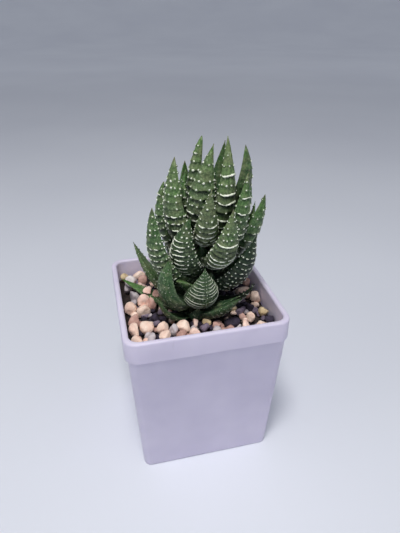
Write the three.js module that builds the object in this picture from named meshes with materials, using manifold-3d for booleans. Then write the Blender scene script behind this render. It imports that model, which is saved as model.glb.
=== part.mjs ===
// A haworthia in a small square nursery pot.
// Millimetres, +Z up. The pot stands on z = 0 with its centre on the Z axis, and its front faces -Y.
import * as THREE from 'three';
import { mergeVertices } from 'three/addons/utils/BufferGeometryUtils.js';
import Module from 'manifold-3d';

const wasm = await Module();
wasm.setup();

// The gap between pieces that touch on the real plant.
const GAP = 0.3;

// The pot: a thin tapered body under a thicker, slightly wider rim band.
const POT = {
  height: 78,
  rimWidth: 70,
  rimHeight: 10.2,
  rimCorner: 5.8,
  lip: 2.5,
  lipCorner: 4.3,
  bodyTopWidth: 67.6,
  bodyBottomWidth: 61,
  bodyCorner: 3.5,
  insideCorner: 2.8,
  wall: 1.5,
  floor: 1.8,
  edgeRound: 0.8,
  edgeBreak: 0.24,
};
const DRAIN = { radius: 3.5, offset: 15, sides: 16 };
const CORNER_STEPS = 4;

// What fills the pot: potting mix up to SOIL_TOP, then a bed of gravel up to BED_TOP.
const SOIL_TOP = 67.5;
const BED_TOP = 69.6;
const BED_GAP = 0.5;

// The two stems. The offset is the small plantlet at the foot of the main one.
const MAIN = { x: 6, y: 1, radius: 3.8, bottom: 52, top: 119 };
const OFFSET = { x: -0.5, y: -8, radius: 3.1, bottom: 58, top: 83 };
const STEM_SIDES = 14;
const STEM_END = { length: 3, radiusShare: 0.6 };
// The gravel keeps this far from the bark.
const BED_HOLE = 1.4;

// A leaf starts this far outside its stem, just clear of the bark.
const LEAF_ROOT = 0.5;
// A leaf bends most near its base: the lean falls off with this power of the length left.
const LEAN_POWER = 1.8;
const MIDLINE_STEPS = 60;
// Where a leaf is widest, and the share of its full width that it has at the stem.
const WIDEST_AT = 0.25;
const BASE_WIDTH = 0.5;
const TIP_HALF_WIDTH = 0.35;
// The section of a leaf, in shares of its half width: the rise of its back over the margins, the
// margins' place behind the midline, and the inner face's.
const SECTION = { back: 0.85, margin: 0.15, inner: 0.25 };
const OUTER_STEPS = 5;

// Tubercles stand in rows across the back. Low rows are closed bands, rows further out are dots.
const ROW_PITCH = 4.3;
const FIRST_ROW = 0.13;
const LAST_ROW = 0.88;
const DOTS_FROM = 0.52;
const TUBERCLE = 0.45;

// Leaves of the main stem, from the foot to the crown. Each row is azimuth, height on the stem, length,
// lean from upright at the base and at the tip, sideways sway of the tip, and half width. Where an
// eighth number stands, it makes the tip slimmer, or fuller if it is under 1.
const MAIN_LEAVES = [
  // lowest leaves, spread over the gravel
  [164, 70.5, 42, 83, 23, -1, 5.3, 0.9],
  [61, 71, 34, 76, 30, 0, 5.0],
  [314, 73, 29, 94, 32, -3, 2.8],
  [120, 73.5, 36, 78, 24, 0, 5.0],
  [20, 75, 36, 78, 22, 0, 5.2],
  // middle of the stem
  [80, 79, 37, 78, 18, 0, 5.4],
  [264, 82, 16, 80, 22, 0.5, 4.4],
  [129, 82.5, 38, 76, 12, 0, 5.3],
  [40, 83, 38, 77, 12, 0, 5.3],
  [201, 85, 47, 85, -1, -1, 7.0, 0.75],
  [303, 84, 38.5, 78, 17, 0, 7.2],
  [94, 87.5, 39, 75, 8, 0, 5.4],
  [143, 90.5, 33, 77, 6, 0, 5.0],
  [352, 91, 34.5, 74, 8, 0, 5.0],
  [218, 91.5, 36, 82, -4, 7.2, 7.2],
  [16, 93, 39, 68, 7, 0, 5.2],
  [69, 95, 40, 72, 2, 0, 5.2],
  [248, 94, 14, 62, 20, 0, 4.6],
  [278, 96, 40, 85, 9, 0.5, 6.2],
  [164, 96, 38.5, 75, -8, 2, 6.0, 0.65],
  [112, 98, 32, 68, 1, 0, 4.8],
  [324, 98, 37.5, 75, 15, -1, 7.2, 0.8],
  // crown
  [120, 101, 35.4, 46, -5, 0.6, 4.6, 0.8],
  [294, 100, 45, 71, 3, 1, 5.2, 0.9],
  [0, 100, 40, 64, -2, 0, 5.2],
  [204, 100.5, 43.4, 58, -12, -2.8, 6.4, 0.8],
  [91, 103, 40, 58, -3, 0, 4.9],
  [304, 103.5, 40.5, 66, 5, 0, 3.2],
  [256, 105, 36, 74, 12, 2, 4.8],
  [55, 107, 37.5, 49, 3, -2.5, 4.5],
  [284, 107.5, 46, 59, -14, 2, 4.3, 0.85],
  [16, 110, 34, 42, -5, 0, 3.8],
  [164, 110, 24, 38, -6, 0, 4.1],
  [243, 111, 38.5, 49, -9, 5.5, 5.7, 1.05],
  [268, 114.5, 28.5, 27, -4, 0, 2.9],
  [218, 115, 34, 30, -14, 2, 3.3, 0.6],
  [324, 117, 33.3, 72, -3, -1.5, 5.9, 0.8],
];

// Leaves of the offset, in the same form.
const OFFSET_LEAVES = [
  [262, 71, 9, 70, 20, 0, 3.6],
  [144, 71, 37, 88, 77, -2.6, 4.0],
  [209, 71, 25, 98, 19, -2.3, 2.8],
  [308, 73, 23, 76, 45, 2, 5.2],
  [169, 73.5, 23, 85, 10, 1, 2.8],
  [317, 75, 20, 80, 49, 1, 2.5],
  [197, 77.5, 30, 82, -12, 2.5, 6.8, 0.85],
  [276, 79.5, 22, 54, 5, 0, 7.5, 1.3],
  [214, 82, 13.5, -5, 65, 0, 3.8],
];

// Pebbles that lie in plain sight: place, length along X, width along Y, and height above the bed.
const SEEN_PEBBLES = [
  [-29.6, 0.2, 5.5, 6.5, 4.0],
  [-23.6, -2.7, 8.0, 6.0, 4.2],
  [-22.6, 1.8, 6.2, 4.6, 6.6],
  [-19.1, 0.1, 4.4, 4.2, 6.2],
  [-26.4, 9.4, 4.6, 6.4, 4.6],
  [-26.6, 24.0, 5.5, 5.0, 4.0],
  [-21.6, 17.5, 5.4, 5.0, 3.8],
  [-22.5, 28.6, 7.4, 3.8, 3.8],
  [-20.4, 23.6, 5.2, 4.6, 3.6],
  [-16.8, 9.4, 4.4, 4.0, 4.0],
  [-29.0, 17.4, 4.4, 4.4, 3.2],
  [-28.7, -8.6, 7.0, 5.6, 3.4],
  [-29.0, -15.9, 4.8, 6.6, 4.0],
  [-23.6, -14.8, 6.3, 6.5, 4.2],
  [-17.6, -16.6, 5.9, 5.9, 4.2],
  [-19.4, -8.9, 5.0, 4.8, 3.2],
  [-13.0, -19.6, 4.2, 5.8, 3.8],
  [-8.2, -18.6, 6.6, 5.8, 4.2],
  [-17.0, -23.3, 5.2, 5.0, 4.0],
  [-28.6, -23.6, 5.4, 5.4, 3.6],
  [-23.0, -22.4, 4.4, 5.0, 3.2],
  [-2.4, -15.8, 3.0, 5.0, 3.6],
  [-4.6, -24.0, 4.6, 4.6, 3.6],
  [0.6, -21.0, 4.4, 4.4, 3.0],
  [4.6, -24.6, 4.6, 4.2, 3.4],
  [6.6, -19.8, 4.8, 4.2, 3.0],
  [10.2, -25.2, 4.8, 4.4, 3.4],
  [13.2, -20.0, 6.8, 5.8, 4.0],
  [18.0, -24.0, 4.6, 4.8, 3.8],
  [22.6, -18.2, 3.8, 4.6, 4.0],
  [19.4, -12.6, 5.0, 4.8, 3.4],
  [24.6, -11.4, 5.4, 4.8, 3.6],
  [29.6, -4.8, 5.4, 6.4, 4.4],
  [25.0, 2.6, 7.6, 5.6, 4.0],
  [29.6, 9.3, 4.4, 5.0, 3.4],
  [29.6, -15.6, 4.8, 4.4, 3.4],
  [25.0, -24.8, 5.6, 4.6, 3.4],
  [29.8, -21.6, 4.2, 4.2, 3.2],
];
// The rest of the bed is a grid of pebbles, each pushed off its place and turned by a seeded draw.
const BED = {
  pitchX: 6.3,
  pitchY: 6.5,
  reach: 29.4,
  jitter: 0.9,
  smallest: 4.6,
  largest: 6.4,
  narrowest: 0.75,
  heightShare: 0.6,
  crowding: 0.42,
  seed: 7,
};
// No pebble of the grid lies closer to a stem than this.
const CLEARING = { main: 9, offset: 7 };
// A lump of twelve corners fills less than its box, so it is drawn larger, and it sits half sunk.
const LUMP = { spread: 1.08, height: 1.5, lift: 0.25 };

const COLOURS = {
  pot: { color: 0xcbc3dc, roughness: 0.55 },
  soil: { color: 0x2b2230, roughness: 1.0 },
  gravel: { color: 0xc9a184, roughness: 0.85 },
  stem: { color: 0x4d6b35, roughness: 0.8 },
  leaf: { color: 0x3c6a30, roughness: 0.6 },
};

const degrees = Math.PI / 180;

// A seeded draw between 0 and 1: the same numbers each time.
function randomFrom(seed) {
  let state = seed;
  return () => {
    state = (state * 16807) % 2147483647;
    return state / 2147483647;
  };
}

// Joins rings of points, all with the same count, into one closed body. The rings run
// anticlockwise as seen from the far end.
function loft(rings) {
  const count = rings[0].length;
  const positions = rings.flat(2);
  const index = [];
  for (let ring = 0; ring + 1 < rings.length; ring += 1) {
    for (let k = 0; k < count; k += 1) {
      const a = ring * count + k;
      const b = ring * count + ((k + 1) % count);
      index.push(a, b, b + count, a, b + count, a + count);
    }
  }
  const last = (rings.length - 1) * count;
  for (let k = 1; k + 1 < count; k += 1) {
    index.push(0, k + 1, k, last, last + k, last + k + 1);
  }
  const geometry = new THREE.BufferGeometry();
  geometry.setAttribute('position', new THREE.Float32BufferAttribute(positions, 3));
  geometry.setIndex(index);
  return geometry;
}

function toSolid(geometry) {
  const bare = geometry.clone();
  bare.deleteAttribute('normal');
  bare.deleteAttribute('uv');
  const merged = mergeVertices(bare, 1e-4);
  return new wasm.Manifold(new wasm.Mesh({
    numProp: 3,
    vertProperties: Float32Array.from(merged.attributes.position.array),
    triVerts: Uint32Array.from(merged.index.array),
  }));
}

function toGeometry(solid) {
  const mesh = solid.getMesh();
  const geometry = new THREE.BufferGeometry();
  geometry.setAttribute('position', new THREE.Float32BufferAttribute(mesh.vertProperties, 3));
  geometry.setIndex(Array.from(mesh.triVerts));
  return geometry;
}

// Keeps the largest body and drops any scrap that a cut leaves behind.
function largestBody(solid) {
  const bodies = solid.decompose();
  bodies.sort((a, b) => b.volume() - a.volume());
  return bodies[0];
}

function addMesh(parent, name, geometry, look) {
  geometry.computeVertexNormals();
  const material = new THREE.MeshStandardMaterial({ ...look, metalness: 0 });
  const mesh = new THREE.Mesh(geometry, material);
  mesh.name = name;
  parent.add(mesh);
  return mesh;
}

// A square ring with round corners at height z.
function squareRing(width, corner, z) {
  const inner = width / 2 - corner;
  const ring = [];
  for (let quarter = 0; quarter < 4; quarter += 1) {
    const middle = (quarter + 0.5) * 90 * degrees;
    const cx = inner * Math.sign(Math.cos(middle));
    const cy = inner * Math.sign(Math.sin(middle));
    for (let step = 0; step <= CORNER_STEPS; step += 1) {
      const angle = (quarter + step / CORNER_STEPS) * 90 * degrees;
      ring.push([cx + corner * Math.cos(angle), cy + corner * Math.sin(angle), z]);
    }
  }
  return ring;
}

// Width of the pot's inside at height z, below the rim band.
function innerWidth(z) {
  const { height, rimHeight, bodyTopWidth, bodyBottomWidth, wall } = POT;
  const share = z / (height - rimHeight);
  return bodyBottomWidth + (bodyTopWidth - bodyBottomWidth) * share - 2 * wall;
}

function potSolid() {
  const { height, rimWidth, rimHeight, rimCorner, lip, lipCorner, bodyTopWidth, bodyBottomWidth } = POT;
  const { bodyCorner, insideCorner, floor, edgeRound, edgeBreak } = POT;
  const bandBottom = height - rimHeight;
  const outside = loft([
    squareRing(bodyBottomWidth - edgeRound, bodyCorner, 0),
    squareRing(bodyBottomWidth, bodyCorner, edgeRound / 2),
    squareRing(bodyTopWidth, bodyCorner, bandBottom - edgeBreak),
    squareRing(rimWidth - edgeRound, rimCorner, bandBottom),
    squareRing(rimWidth, rimCorner, bandBottom + edgeBreak),
    squareRing(rimWidth, rimCorner, height - edgeRound),
    squareRing(rimWidth - 2 * edgeBreak, rimCorner - edgeBreak, height - edgeBreak),
    squareRing(rimWidth - 2 * edgeRound, rimCorner - edgeRound, height),
  ]);
  const opening = rimWidth - 2 * lip;
  const inside = loft([
    squareRing(innerWidth(floor), insideCorner, floor),
    squareRing(innerWidth(bandBottom), insideCorner, bandBottom),
    squareRing(opening, lipCorner, height - edgeRound),
    squareRing(opening + 2 * edgeBreak, lipCorner + edgeBreak, height - edgeBreak),
    squareRing(opening + 2 * edgeRound, lipCorner + edgeRound, height),
    squareRing(opening + 2 * edgeRound, lipCorner + edgeRound, height + 1),
  ]);
  let pot = toSolid(outside).subtract(toSolid(inside));
  for (const sx of [-1, 1]) {
    for (const sy of [-1, 1]) {
      const drain = new THREE.CylinderGeometry(DRAIN.radius, DRAIN.radius, 4 * floor, DRAIN.sides);
      drain.rotateX(90 * degrees);
      drain.translate(sx * DRAIN.offset, sy * DRAIN.offset, 0);
      pot = pot.subtract(toSolid(drain));
    }
  }
  return pot;
}

// A plain round hole for a stem, from its foot upward.
function stemHole(stem, radius) {
  const depth = POT.height - stem.bottom + GAP;
  const hole = new THREE.CylinderGeometry(radius, radius, depth, STEM_SIDES);
  hole.rotateX(90 * degrees);
  hole.translate(stem.x, stem.y, stem.bottom - GAP + depth / 2);
  return toSolid(hole);
}

function soilSolid() {
  const bottom = POT.floor + GAP;
  const soil = toSolid(loft([
    squareRing(innerWidth(bottom) - 2 * GAP, POT.insideCorner, bottom),
    squareRing(innerWidth(SOIL_TOP) - 2 * GAP, POT.insideCorner, SOIL_TOP),
  ]));
  return soil
    .subtract(stemHole(MAIN, MAIN.radius + GAP))
    .subtract(stemHole(OFFSET, OFFSET.radius + GAP));
}

// One pebble: a lump with twelve corners, stretched to its size and turned about Z.
function pebbleSolid(x, y, length, width, height, turn) {
  const lump = new THREE.IcosahedronGeometry(0.5);
  lump.scale(length * LUMP.spread, width * LUMP.spread, height * LUMP.height);
  lump.rotateX(turn / 3);
  lump.rotateZ(turn);
  lump.translate(x, y, BED_TOP + height * LUMP.lift);
  return toSolid(lump);
}

// Every pebble of the bed: those in plain sight, turned a little, and those of the seeded grid.
function bedPebbles() {
  const draw = randomFrom(BED.seed);
  const pebbles = SEEN_PEBBLES.map((size) => [...size, (draw() - 0.5) / 2]);
  const isFree = (x, y, size) => pebbles.every(([px, py, length, width]) => (
    Math.hypot(px - x, py - y) > BED.crowding * (size + (length + width) / 2)));
  const isClear = (x, y) => Math.hypot(x - MAIN.x, y - MAIN.y) > CLEARING.main
    && Math.hypot(x - OFFSET.x, y - OFFSET.y) > CLEARING.offset;
  for (let gridX = -BED.reach; gridX <= BED.reach; gridX += BED.pitchX) {
    for (let gridY = -BED.reach; gridY <= BED.reach; gridY += BED.pitchY) {
      const x = gridX + (draw() - 0.5) * 2 * BED.jitter;
      const y = gridY + (draw() - 0.5) * 2 * BED.jitter;
      const length = BED.smallest + draw() * (BED.largest - BED.smallest);
      const width = length * (BED.narrowest + draw() * (1 - BED.narrowest));
      const turn = draw() * Math.PI;
      if (isClear(x, y) && isFree(x, y, length)) {
        pebbles.push([x, y, length, width, length * BED.heightShare, turn]);
      }
    }
  }
  return pebbles;
}

// The gravel bed: a thin layer that carries its pebbles, kept inside the pot's walls.
function gravelSolid() {
  const bottom = SOIL_TOP + GAP;
  const width = innerWidth(bottom) - 2 * BED_GAP;
  const block = (top) => toSolid(loft([
    squareRing(width, POT.insideCorner, bottom),
    squareRing(width, POT.insideCorner, top),
  ]));
  const lumps = bedPebbles().map((pebble) => pebbleSolid(...pebble));
  return wasm.Manifold.union([block(BED_TOP), ...lumps])
    .intersect(block(POT.height))
    .subtract(stemHole(MAIN, MAIN.radius + BED_HOLE))
    .subtract(stemHole(OFFSET, OFFSET.radius + BED_HOLE));
}

// A round stem, narrower at its foot and its top.
function stemSolid(stem) {
  const { radius, bottom, top } = stem;
  const endRadius = radius * STEM_END.radiusShare;
  const profile = [
    [0, bottom],
    [endRadius, bottom],
    [radius, bottom + STEM_END.length],
    [radius, top - STEM_END.length],
    [endRadius, top],
    [0, top],
  ].map(([r, z]) => new THREE.Vector2(r, z));
  const geometry = new THREE.LatheGeometry(profile, STEM_SIDES);
  geometry.rotateX(90 * degrees);
  geometry.translate(stem.x, stem.y, 0);
  return toSolid(geometry);
}

// Half width of a leaf at the share s of its length, from 0 at the stem to 1 at the tip.
function leafHalfWidth(s, [, , , , , , halfWidth, taper = 1]) {
  const rising = BASE_WIDTH + (1 - BASE_WIDTH) * Math.sin((s / WIDEST_AT) * 90 * degrees);
  const falling = Math.sin(((1 - s) / (1 - WIDEST_AT)) * 90 * degrees) ** taper;
  return Math.max(halfWidth * (s < WIDEST_AT ? rising : falling), TIP_HALF_WIDTH);
}

// The midline of a leaf as a function: it leaves the stem almost level and curves upright.
function leafMidline(stem, [azimuth, height, length, baseLean, tipLean, sway]) {
  const steps = MIDLINE_STEPS;
  const outward = new THREE.Vector3(Math.cos(azimuth * degrees), Math.sin(azimuth * degrees), 0);
  const sideways = new THREE.Vector3(-outward.y, outward.x, 0);
  const leanAt = (s) => (tipLean + (baseLean - tipLean) * (1 - s) ** LEAN_POWER) * degrees;
  const reach = [0];
  const rise = [0];
  for (let k = 0; k < steps; k += 1) {
    const lean = leanAt((k + 0.5) / steps);
    reach.push(reach[k] + (Math.sin(lean) * length) / steps);
    rise.push(rise[k] + (Math.cos(lean) * length) / steps);
  }
  return (s) => {
    const k = Math.min(Math.floor(s * steps), steps - 1);
    const part = s * steps - k;
    const out = stem.radius + LEAF_ROOT + reach[k] + (reach[k + 1] - reach[k]) * part;
    const up = height + rise[k] + (rise[k + 1] - rise[k]) * part;
    const lean = leanAt(s);
    const centre = new THREE.Vector3(stem.x, stem.y, up)
      .addScaledVector(outward, out)
      .addScaledVector(sideways, sway * s * s);
    const back = outward.clone().multiplyScalar(Math.cos(lean));
    back.z = -Math.sin(lean);
    return { centre, sideways, back };
  };
}

// One section of a leaf: a round back and a nearly flat inner face. The section is larger by grow all
// round, and raise(k) lifts point k of the back.
function leafSection({ centre, sideways, back }, half, grow, raise) {
  const ring = [];
  const place = (across, out) => {
    const point = centre.clone().addScaledVector(sideways, across).addScaledVector(back, out);
    ring.push(point.toArray());
  };
  for (let k = 0; k <= OUTER_STEPS; k += 1) {
    const angle = (k / OUTER_STEPS) * 180 * degrees;
    const swell = grow + raise(k);
    const across = -Math.cos(angle) * (half + swell);
    const out = Math.sin(angle) * (SECTION.back * half + swell) - SECTION.margin * half;
    place(across, out);
  }
  place(0, -SECTION.inner * half - grow);
  return ring;
}

// Where the sections of a leaf lie, and which of them crest in a row of tubercles.
function leafStations(length) {
  const rows = Math.max(2, Math.round(((LAST_ROW - FIRST_ROW) * length) / ROW_PITCH));
  const pitch = (LAST_ROW - FIRST_ROW) / rows;
  const stations = [{ s: 0, row: -1 }];
  for (let row = 0; row <= rows; row += 1) {
    const s = FIRST_ROW + row * pitch;
    stations.push({ s, row });
    stations.push({ s: s + pitch / 2, row: -1 });
  }
  stations[stations.length - 1].s = 1;
  return stations;
}

// A leaf with its tubercles, in bands low on the back and as separate dots higher up.
function leafSolid(stem, leaf) {
  const midline = leafMidline(stem, leaf);
  const length = leaf[2];
  const rings = leafStations(length).map(({ s, row }) => {
    const raise = (k) => {
      const onBack = k > 0 && k < OUTER_STEPS;
      const raised = s < DOTS_FROM || (k + row) % 2 === 0;
      return row >= 0 && onBack && raised ? TUBERCLE : 0;
    };
    return leafSection(midline(s), leafHalfWidth(s, leaf), 0, raise);
  });
  return toSolid(loft(rings));
}

// The room a leaf needs: its smooth form, larger by its tubercles and the gap.
function leafRoom(stem, leaf) {
  const midline = leafMidline(stem, leaf);
  const length = leaf[2];
  const rings = leafStations(length).map(({ s }) => {
    const raise = () => TUBERCLE;
    return leafSection(midline(s), leafHalfWidth(s, leaf), GAP, raise);
  });
  return toSolid(loft(rings));
}

function overlaps(a, b) {
  const boxA = a.boundingBox();
  const boxB = b.boundingBox();
  return [0, 1, 2].every((i) => boxA.min[i] < boxB.max[i] && boxB.min[i] < boxA.max[i]);
}

// Cuts each leaf back from the ones below it, which are outside it and hide the place.
function trimmedLeaves(rows) {
  const rooms = [];
  return rows.map(({ stem, leaf, name }) => {
    let solid = leafSolid(stem, leaf);
    for (const room of rooms) {
      if (overlaps(solid, room)) solid = largestBody(solid.subtract(room));
    }
    rooms.push(leafRoom(stem, leaf));
    return { name, solid, room: rooms[rooms.length - 1] };
  });
}

function numbered(prefix, stem, leaves) {
  return leaves.map((leaf, k) => ({
    stem,
    leaf,
    name: `${prefix}_${String(k + 1).padStart(2, '0')}`,
  }));
}

const model = new THREE.Group();
addMesh(model, 'pot', toGeometry(potSolid()), COLOURS.pot);
addMesh(model, 'soil', toGeometry(soilSolid()), COLOURS.soil);
addMesh(model, 'stem', toGeometry(stemSolid(MAIN)), COLOURS.stem);
addMesh(model, 'offset_stem', toGeometry(stemSolid(OFFSET)), COLOURS.stem);

const leaves = trimmedLeaves([
  ...numbered('offset_leaf', OFFSET, OFFSET_LEAVES),
  ...numbered('leaf', MAIN, MAIN_LEAVES),
]);
let gravel = gravelSolid();
for (const { name, solid, room } of leaves) {
  addMesh(model, name, toGeometry(solid), COLOURS.leaf);
  if (overlaps(gravel, room)) gravel = gravel.subtract(room);
}
addMesh(model, 'gravel', toGeometry(largestBody(gravel)), COLOURS.gravel);

export default model;
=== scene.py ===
# %% [markdown]
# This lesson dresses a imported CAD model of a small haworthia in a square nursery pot. The CAD model is
# the frame: it says where the pot, the gravel, the stems and the leaves are, and nothing here moves them.
# Everything is in metres, with Z up, and the front of the pot faces -Y. Lengths below are written in
# millimetres and turned to metres once, where a mesh is made.

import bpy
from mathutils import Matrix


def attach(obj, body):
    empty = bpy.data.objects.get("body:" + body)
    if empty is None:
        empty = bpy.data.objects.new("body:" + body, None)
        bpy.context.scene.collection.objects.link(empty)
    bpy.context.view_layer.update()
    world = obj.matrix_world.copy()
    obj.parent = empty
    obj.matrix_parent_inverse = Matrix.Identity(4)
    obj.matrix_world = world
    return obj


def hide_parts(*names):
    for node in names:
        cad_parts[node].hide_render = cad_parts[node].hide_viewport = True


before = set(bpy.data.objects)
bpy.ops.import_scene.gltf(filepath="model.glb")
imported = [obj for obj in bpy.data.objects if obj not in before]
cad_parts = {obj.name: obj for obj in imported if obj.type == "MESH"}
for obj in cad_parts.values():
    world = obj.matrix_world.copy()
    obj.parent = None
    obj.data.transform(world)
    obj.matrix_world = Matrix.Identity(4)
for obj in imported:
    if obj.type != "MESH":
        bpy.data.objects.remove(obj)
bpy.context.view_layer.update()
print("CAD nodes:", len(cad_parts))

# %% [markdown]
# The camera comes first, because every later choice is judged through it. The photograph looks down on
# the pot by thirty degrees, from a little to the left of its front. A camera is three directions and a
# place, so it is set from a point that it looks at, the direction that it looks from, and its distance.

# %% The camera
import math

import bpy
import numpy as np
from mathutils import Matrix, Vector

MM = 0.001
PHOTO_HEIGHT_PIXELS = 533
FOCAL_PIXELS = 448.5
SENSOR_MM = 36.0
LOOK_AT = Vector((3.25, -0.80, 89.21))
LOOK_FROM_AZIMUTH = -13.78
LOOK_FROM_ELEVATION = 30.08
LOOK_DISTANCE = 201.4
CAMERA_ROLL = 0.18


def aimed_matrix(azimuth, elevation, roll, target, distance):
    """Where a camera stands and how it is turned, as one matrix in metres."""
    around, above = math.radians(azimuth), math.radians(elevation)
    back = Vector((
        math.sin(around) * math.cos(above),
        -math.cos(around) * math.cos(above),
        math.sin(above),
    ))
    side = Vector((0, 0, 1)).cross(back).normalized()
    up = back.cross(side)
    turned = Matrix((side, up, back)).transposed() @ Matrix.Rotation(math.radians(roll), 3, "Z")
    return Matrix.Translation((target + back * distance) * MM) @ turned.to_4x4()


lens = bpy.data.cameras.new("photo_camera")
lens.sensor_width = SENSOR_MM
lens.lens = FOCAL_PIXELS / PHOTO_HEIGHT_PIXELS * SENSOR_MM
lens.clip_start = 0.01
camera = bpy.data.objects.new("photo_camera", lens)
bpy.context.scene.collection.objects.link(camera)
camera.matrix_world = aimed_matrix(
    LOOK_FROM_AZIMUTH, LOOK_FROM_ELEVATION, CAMERA_ROLL, LOOK_AT, LOOK_DISTANCE)
bpy.context.scene.camera = camera
print("camera at", [round(v, 4) for v in camera.location], "lens", round(lens.lens, 2), "mm")

# %% [markdown]
# A pot, a leaf and a pebble are all made from points and faces, so a few small helpers do the common
# work. A ring of points joined to the next ring gives a tube, which is how most round or square things
# are built by hand. The makers of shapes return plain points and faces, and one function turns them into
# a Blender mesh.

# %% Helpers for meshes
def rings_to_faces(ring_count, ring_size, first=0):
    """Quads between neighbouring rings, with the ends left open."""
    faces = []
    for ring in range(ring_count - 1):
        for k in range(ring_size):
            a = first + ring * ring_size + k
            b = first + ring * ring_size + (k + 1) % ring_size
            faces.append((a, b, b + ring_size, a + ring_size))
    return faces


def closed_tube(ring_count, ring_size, first=0):
    """Quads between neighbouring rings, and one face that closes each end."""
    last = first + (ring_count - 1) * ring_size
    faces = rings_to_faces(ring_count, ring_size, first)
    faces.append(tuple(reversed(range(first, first + ring_size))))
    faces.append(tuple(range(last, last + ring_size)))
    return faces


def repeated(faces, copies, points_each):
    """The same faces once more for each copy, where the copies' points follow on from one another."""
    return [tuple(copy * points_each + corner for corner in face) for copy in range(copies) for face in faces]


def make_piece(name, points, faces, finishes, face_finish=None):
    """A smooth mesh object from points in millimetres. face_finish gives each face its finish's number."""
    mesh = bpy.data.meshes.new(name)
    mesh.from_pydata((np.asarray(points) * MM).tolist(), [], faces)
    for finish in finishes:
        mesh.materials.append(finish)
    mesh.polygons.foreach_set("use_smooth", [True] * len(mesh.polygons))
    if face_finish is not None:
        mesh.polygons.foreach_set("material_index", face_finish)
    mesh.update()
    piece = bpy.data.objects.new(name, mesh)
    bpy.context.scene.collection.objects.link(piece)
    return piece


def add_attribute(piece, name, values):
    """A number on each point of the mesh, which a material can read by its name."""
    attribute = piece.data.attributes.new(name, "FLOAT", "POINT")
    attribute.data.foreach_set("value", np.asarray(values, np.float32))


def place_on_frame(piece, slot, *nodes):
    """The piece stands for these CAD nodes, and moves with the part's one body."""
    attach(piece, "root")
    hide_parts(*nodes)


def drawn(seed):
    """A seeded generator, so that every run gives the same plant."""
    return np.random.default_rng(seed)


print("faces of a closed tube of two rings with four points each:", len(closed_tube(2, 4)))

# %% [markdown]
# A finish is a small network of nodes. Noise gives the mottling of a leaf or a stone, a colour ramp turns
# its grey into two or more tones, and a bump node turns it into fine relief. What is the same all over
# the surface is set on the shader itself.

# %% Helpers for finishes
def new_finish(name, **sockets):
    """A material with its node tree and its shader. Sockets are set by name, with _ for a space."""
    material = bpy.data.materials.new(name)
    material.use_nodes = True
    shader = material.node_tree.nodes["Principled BSDF"]
    for socket, value in sockets.items():
        shader.inputs[socket.replace("_", " ")].default_value = value
    return material, material.node_tree, shader


def add_node(tree, kind, inputs=None, **settings):
    """A node with its settings, and with each input set to a number or wired to another node's output."""
    node = tree.nodes.new(kind)
    for name, value in settings.items():
        setattr(node, name, value)
    for socket, value in (inputs or {}).items():
        if isinstance(value, bpy.types.NodeSocket):
            tree.links.new(value, node.inputs[socket])
        else:
            node.inputs[socket].default_value = value
    return node


def colour(red, green, blue):
    """A colour as a paint programme shows it, from 0 to 255, turned to the linear values of light."""
    def linear(value):
        share = value / 255
        return share / 12.92 if share <= 0.04045 else ((share + 0.055) / 1.055) ** 2.4
    return (linear(red), linear(green), linear(blue), 1.0)


def noise(tree, scale, detail=3.0, roughness=0.55, stretch=None):
    """Noise at so many cells per metre, fixed to the object. stretch draws it out along an axis."""
    place = add_node(tree, "ShaderNodeTexCoord").outputs["Object"]
    if stretch:
        place = add_node(tree, "ShaderNodeMapping", {"Vector": place, "Scale": stretch}).outputs[0]
    return add_node(tree, "ShaderNodeTexNoise", {
        "Vector": place, "Scale": scale, "Detail": detail, "Roughness": roughness}).outputs["Fac"]


def ramp(tree, value, *stops):
    """Turns a value from 0 to 1 into a colour by stops of place and colour."""
    node = add_node(tree, "ShaderNodeValToRGB", {"Fac": value})
    elements = node.color_ramp.elements
    while len(elements) < len(stops):
        elements.new(0.5)
    for element, (place, tone) in zip(elements, stops):
        element.position = place
        element.color = tone
    return node.outputs["Color"]


def mix_colours(tree, share, a, b, mode="MIX"):
    """Colour a where the share is 0, colour b where it is 1, and a blend of them between."""
    mixer = add_node(tree, "ShaderNodeMix", {0: share, 6: a, 7: b}, data_type="RGBA", blend_type=mode)
    return mixer.outputs[2]


def remap(tree, value, low, high, to_low=0.0, to_high=1.0):
    """Moves a value from one range to another, and holds it at the ends."""
    return add_node(tree, "ShaderNodeMapRange", {
        "Value": value, "From Min": low, "From Max": high, "To Min": to_low, "To Max": to_high,
    }).outputs["Result"]


def scaled(tree, value, factor):
    """A value times a number, or times another value."""
    return add_node(tree, "ShaderNodeMath", {0: value, 1: factor}, operation="MULTIPLY").outputs[0]


def add_relief(tree, shader, height, depth_mm, strength=1.0):
    """Fine relief on the shader, where a height of 1 stands depth_mm above a height of 0."""
    bump = add_node(tree, "ShaderNodeBump", {
        "Height": height, "Distance": depth_mm * MM, "Strength": strength})
    tree.links.new(bump.outputs["Normal"], shader.inputs["Normal"])


def set_finish(piece, material):
    """Gives a piece this one finish in place of any that it has."""
    piece.data.materials.clear()
    piece.data.materials.append(material)


print("a grey of 128 is this share of full light:", round(colour(128, 128, 128)[0], 3))

# %% [markdown]
# The pot is one injection moulding of polypropylene: a thin tapered body under a thicker rim band. Its
# corners and its lip are round. It could be a box with bevels, but a loft of rounded squares keeps full
# control of the taper, the step under the band and the roll of the lip, so it is a stack of rings that
# goes up the outside, over the lip and down the inside.

# %% The pot's shape
POT_HEIGHT = 78.0
RIM_WIDTH, RIM_HEIGHT, RIM_CORNER = 70.0, 10.2, 5.8
LIP, LIP_CORNER = 2.5, 4.3
BODY_TOP_WIDTH, BODY_BOTTOM_WIDTH, BODY_CORNER = 67.6, 61.0, 3.5
INSIDE_CORNER = 2.8
WALL, FLOOR = 1.5, 1.8
BAND_BOTTOM = POT_HEIGHT - RIM_HEIGHT
CORNER_STEPS, ROLL_STEPS = 14, 5
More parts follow.
